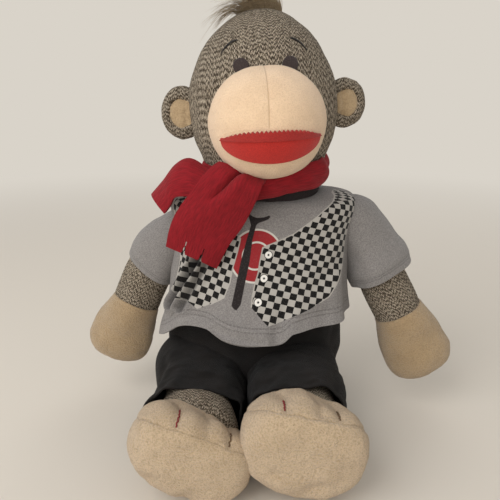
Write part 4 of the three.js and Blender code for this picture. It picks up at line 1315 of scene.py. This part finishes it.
def shirtPlaceAt(s, t):
    angle = (2 * s - 1) * math.pi
    hem = valueAt(shirt["hem"], np.degrees(angle))
    height = mixed(hem, shirt["neckline"], t)
    lift = valueAt(shirt["neckRise"], np.degrees(angle)) * smoothStep(150, shirt["neckline"], height)
    halfWidth = valueAt(shirt["halfWidths"], height)
    front = valueAt(shirt["fronts"], height)
    back = valueAt(shirt["backs"], height)
    depth = np.where(np.cos(angle) > 0, front, back)
    x, y = boxyRing(angle, halfWidth, depth)
    low = (1 - t) ** 1.6
    wave = low * waves(angle, *shirt["waves"])
    places = np.stack([x, y, height], axis=1) + ringPlaces(angle, wave, wave, 0)
    return leaned(places) + (0, 0, 1) * lift[:, None]


def buildShirt():
    columns, rows = shirt["grid"]
    obj = clothGrid("shirtJersey", columns, rows, shirtPlaceAt)
    s = np.tile(np.linspace(0, 1, columns + 1), rows + 1)
    t = np.repeat(np.linspace(0, 1, rows + 1), columns + 1)
    angle = (2 * s - 1) * math.pi
    around = lengthRound(angle)
    hem = valueAt(shirt["hem"], np.degrees(angle))
    height = clothHeight(pointsOf(obj), columns, rows)
    distances = lumpsAt(pointsOf(obj) * (1, 1, 0.6), 22, seed=71) * 1.5 * (1 - 0.6 * t)
    shade = np.zeros(len(height))
    for crease in shirt["creases"]:
        (ax, ay), (bx, by) = crease["start"], crease["end"]
        along = (around - ax) * (bx - ax) + (height - ay) * (by - ay)
        share = np.clip(along / ((bx - ax) ** 2 + (by - ay) ** 2), 0, 1)
        off = np.hypot(around - ax - share * (bx - ax), height - ay - share * (by - ay)) / crease["width"]
        distances += crease["depth"] * (0.8 * bell(off - 1.5, 1) - bell(off, 1))
        # painted shade along the deepest creases, kept as creaseShade
        shade = np.maximum(shade, crease.get("shade", 0) * bell(off, 1.2))
    setAttribute(obj, "creaseShade", shade)
    pushOut(obj, distances if outward(obj) else -distances)
    layer = obj.data.uv_layers.active.data
    for loop in obj.data.loops:
        layer[loop.index].uv = (around[loop.vertex_index] * mm, height[loop.vertex_index] * mm)
    setAttribute(obj, "hemRise", (height - hem) * mm)
    panels = [edgeDistance(vestPrint[panel], around, height) for panel in ("leftPanel", "rightPanel")]
    setAttribute(obj, "vestEdge", np.minimum(*panels) * mm)
    setAttribute(obj, "tieEdge", edgeDistance(vestPrint["tie"], around, height) * mm)
    weld(obj)
    thicken(obj, shirt["thickness"])
    declareSheet(shirt["flat"])
    finishPiece(obj, atOrigin, printedJersey, "torso", ["shirt_body"])


# Height on the cloth: the plain height on the chest, then the length along the cloth over the shoulders
def clothHeight(points, columns, rows):
    grid = points.reshape(rows + 1, columns + 1, 3)
    rise = np.diff(grid[:, :, 2], axis=0)
    along = np.linalg.norm(np.diff(grid, axis=0), axis=2)
    high = smoothStep(shirt["turnFrom"], shirt["turnFrom"] + 6, grid[:-1, :, 2])
    climbed = np.cumsum(mixed(rise, along, high), axis=0)
    return (grid[0, :, 2] + np.concatenate([np.zeros((1, columns + 1)), climbed])).ravel()


def outward(obj):
    points, normals = pointsOf(obj), pointsOf(obj, "normal")
    return ((points - points.mean(0)) * normals).sum() > 0


collar = {"height": 6, "thickness": 1.8, "halfWidth": 45.5, "halfDepth": 32, "drop": 1.5, "closing": 0.07}


def buildCollar():
    def bandAt(s, t):
        angle = (2 * s - 1) * math.pi
        rise = valueAt(shirt["neckRise"], np.degrees(angle))
        height = shirt["neckline"] - collar["drop"] + rise + collar["height"] * t
        closer = 1 - collar["closing"] * t
        return leaned(ringPlaces(angle, collar["halfWidth"] * closer, collar["halfDepth"] * closer, height))

    obj = clothGrid("collarRib", 120, 6, bandAt, closed=True)
    scaleUv(obj, 2 * math.pi * collar["halfWidth"], collar["height"])
    thicken(obj, collar["thickness"], 0, 0.6, 3)
    finishPiece(obj, atOrigin, collarRib, "torso", ["shirt_collar"])


# Scarf
scarf = {
    "thickness": 3.6, "bandWidth": 20, "halfWidth": 47, "halfDepth": 46, "height": 211, "tilt": 8,
    "sideTilt": 4, "bulge": 4.2, "fringeDepth": 12, "fringes": 3,
    "end": {
        "left": [
            (-22, -82, 221), (-29.4, -87, 215.7), (-38.3, -87, 205.6), (-47.6, -84, 194.1), (-55.2, -82, 182),
            (-59.8, -81.5, 170), (-62.6, -81, 159),
        ],
        "right": [
            (13, -76, 206), (9.5, -85, 207), (6.6, -92, 202.5), (3.5, -90, 194.7), (-6.1, -84, 174.9),
            (-16, -80, 160.2), (-26.3, -77, 140.5),
        ],
        "bulge": 4.5, "flat": (50, 95), "grid": (60, 96),
    },
    "loop": {
        "left": [
            (-24, -78, 197), (-37.4, -76, 195), (-44.6, -73, 195.5), (-56.2, -69, 194), (-60.6, -67, 187),
            (-65.4, -64, 180.5),
        ],
        "right": [
            (-24, -73, 205), (-34.1, -62, 214.5), (-46, -57, 220.5), (-56.7, -54, 215.5), (-67.5, -48, 202.5),
            (-78.1, -44, 190.8),
        ],
        "bulge": 5, "flat": (27, 70), "grid": (40, 60),
    },
}


# A strip of cloth between two edge lines, bulging outwards between them
def stripPiece(name, strip, outward, fold=None):
    def placeAt(s, t):
        left, right = splineAt(strip["left"], t), splineAt(strip["right"], t)
        lift = strip["bulge"] * (1 - np.abs(2 * s - 1) ** 2.4)
        if fold:
            lift = lift + fold(s, t)
        return mixed(left, right, s[:, None]) + np.outer(lift, outward)

    obj = clothGrid(name, *strip["grid"], placeAt)
    scaleUv(obj, *strip["flat"])
    return obj


def finishScarf(obj, flat, nodes):
    thicken(obj, scarf["thickness"], 0, scarf["thickness"] * 0.4, 3)
    declareSheet(flat)
    finishPiece(obj, atOrigin, scarfFleece, "torso", nodes)


def buildScarf():
    centre = neckPlace / mm
    tilt = Matrix.Rotation(-radians(scarf["sideTilt"]), 3, "Y")
    tilt = tilt @ Matrix.Rotation(radians(scarf["tilt"]), 3, "X")
    length = 2 * math.pi * (scarf["halfWidth"] + 2)

    def bandAt(s, t):
        angle = 2 * math.pi * s
        squash = 2 * t - 1
        out = scarf["bulge"] * (1 - squash**2) + waves(angle, (1.3, 6, 1), (0.8, 11, squash * 2))
        height = scarf["bandWidth"] / 2 * squash + 1.2 * np.sin(3 * angle)
        ring = ringPlaces(angle, scarf["halfWidth"] + out, scarf["halfDepth"] + out, height)
        return ring @ np.array(tilt).T + (centre.x, centre.y, scarf["height"])

    band = clothGrid("scarfBand", 200, 28, bandAt, closed=True)
    scaleUv(band, length, scarf["bandWidth"])
    for corner in band.data.uv_layers.active.data:
        corner.uv = (corner.uv.y, corner.uv.x)
    pushOut(band, lumpsAt(pointsOf(band), 14, seed=81) * 0.9)
    finishScarf(band, (length, scarf["bandWidth"] + 6), ["scarf_wrap"])

    def endFold(s, t):
        crease = -6.5 * bell(s - 0.55 + 0.45 * t, 0.07) * smoothStep(0.5, 0.2, t)
        ridge = 2.5 * bell(s - 0.72 + 0.4 * t, 0.1) * smoothStep(0.6, 0.1, t)
        return crease + ridge + 0.7 * np.sin(7 * s + 9 * t)

    end = stripPiece("scarfEnd", scarf["end"], (-0.05, -0.9, 0.35), endFold)
    cutFringes(end, *scarf["end"]["grid"], scarf["fringes"], scarf["fringeDepth"] / scarf["end"]["flat"][1])
    finishScarf(end, scarf["end"]["flat"], ["scarf_end", "scarf_knot"])
    loop = stripPiece("scarfLoop", scarf["loop"], (-0.3, -0.7, 0.5))
    finishScarf(loop, scarf["loop"]["flat"], ["scarf_loop"])


# Opens slits at the free end of a strip, by taking out thin rows of faces
def cutFringes(obj, columns, rows, count, depthShare):
    slits = [round(columns * (i + 1) / count) for i in range(count - 1)]
    first = rows - round(rows * depthShare)
    selectOnly(obj)
    bpy.ops.object.mode_set(mode="EDIT")
    bpy.ops.mesh.select_all(action="DESELECT")
    bpy.ops.object.mode_set(mode="OBJECT")
    for polygon in obj.data.polygons:
        column, row = polygon.index % columns, polygon.index // columns
        opening = 2.2 * (row - first) / (rows - first)
        polygon.select = row >= first and any(abs(column - slit) <= opening for slit in slits)
    bpy.ops.object.mode_set(mode="EDIT")
    bpy.ops.mesh.delete(type="FACE")
    bpy.ops.object.mode_set(mode="OBJECT")


buildStage()
knit = knitFinish()
muzzleFleece = pileFinish(
    "muzzleFleece", "#f0d1ae", "#d0ac86", 1.0, 0.9, contrast=0.45,
    seam={"width": 0.7, "depth": 0.5, "colour": "#b89068"},
)
mittFleece = pileFinish("mittFleece", "#b69b76", "#8e7553", 1.2, 1.5, contrast=0.6)
footPlush = pileFinish(
    "footPlush", "#dbc09d", "#a4875f", 1.15, 2.3, contrast=0.62,
    seam={"width": 0.8, "depth": 0.28, "colour": "#94754b"},
)
earPlush = pileFinish("earPlush", "#b89f7c", "#8a7152", 1.2, 0.8)
upperLipFelt = feltFinish("upperLipFelt", "#ad302a", "#8f2420")
lowerLipFelt = feltFinish("lowerLipFelt", "#bf2d25", "#a3241e")
eyeFelt = feltFinish("eyeFelt", "#403532", "#2d2321")
browThread = threadFinish("browThread", "#2e2622", "#1d1714")
redThread = threadFinish("redThread", "#b02a2f", "#8a1c22")
brownThread = threadFinish("brownThread", "#8a6b47", "#6b5236")
hairFibre = threadFinish("hairFibre", "#d6bd97", "#a58c69")
sleeveJersey = sleeveFinish()
printedJersey = shirtFinish()
cotton = cottonFinish()
collarRib = ribFinish()
scarfFleece = scarfFinish()
print("stage and finishes are ready")

headForm = buildHead()
muzzleForm = buildMuzzle()
buildMouth(muzzleForm)
buildEyes(headForm)
buildEars()
buildHair()
print("head is ready")

buildTorso()
buildNeck()
buildArms()
buildLegs()
buildTrouserLegs()
buildTrouserSeat()
print("body and trousers are ready")

buildShirt()
buildCollar()
buildScarf()
print("shirt and scarf are ready")
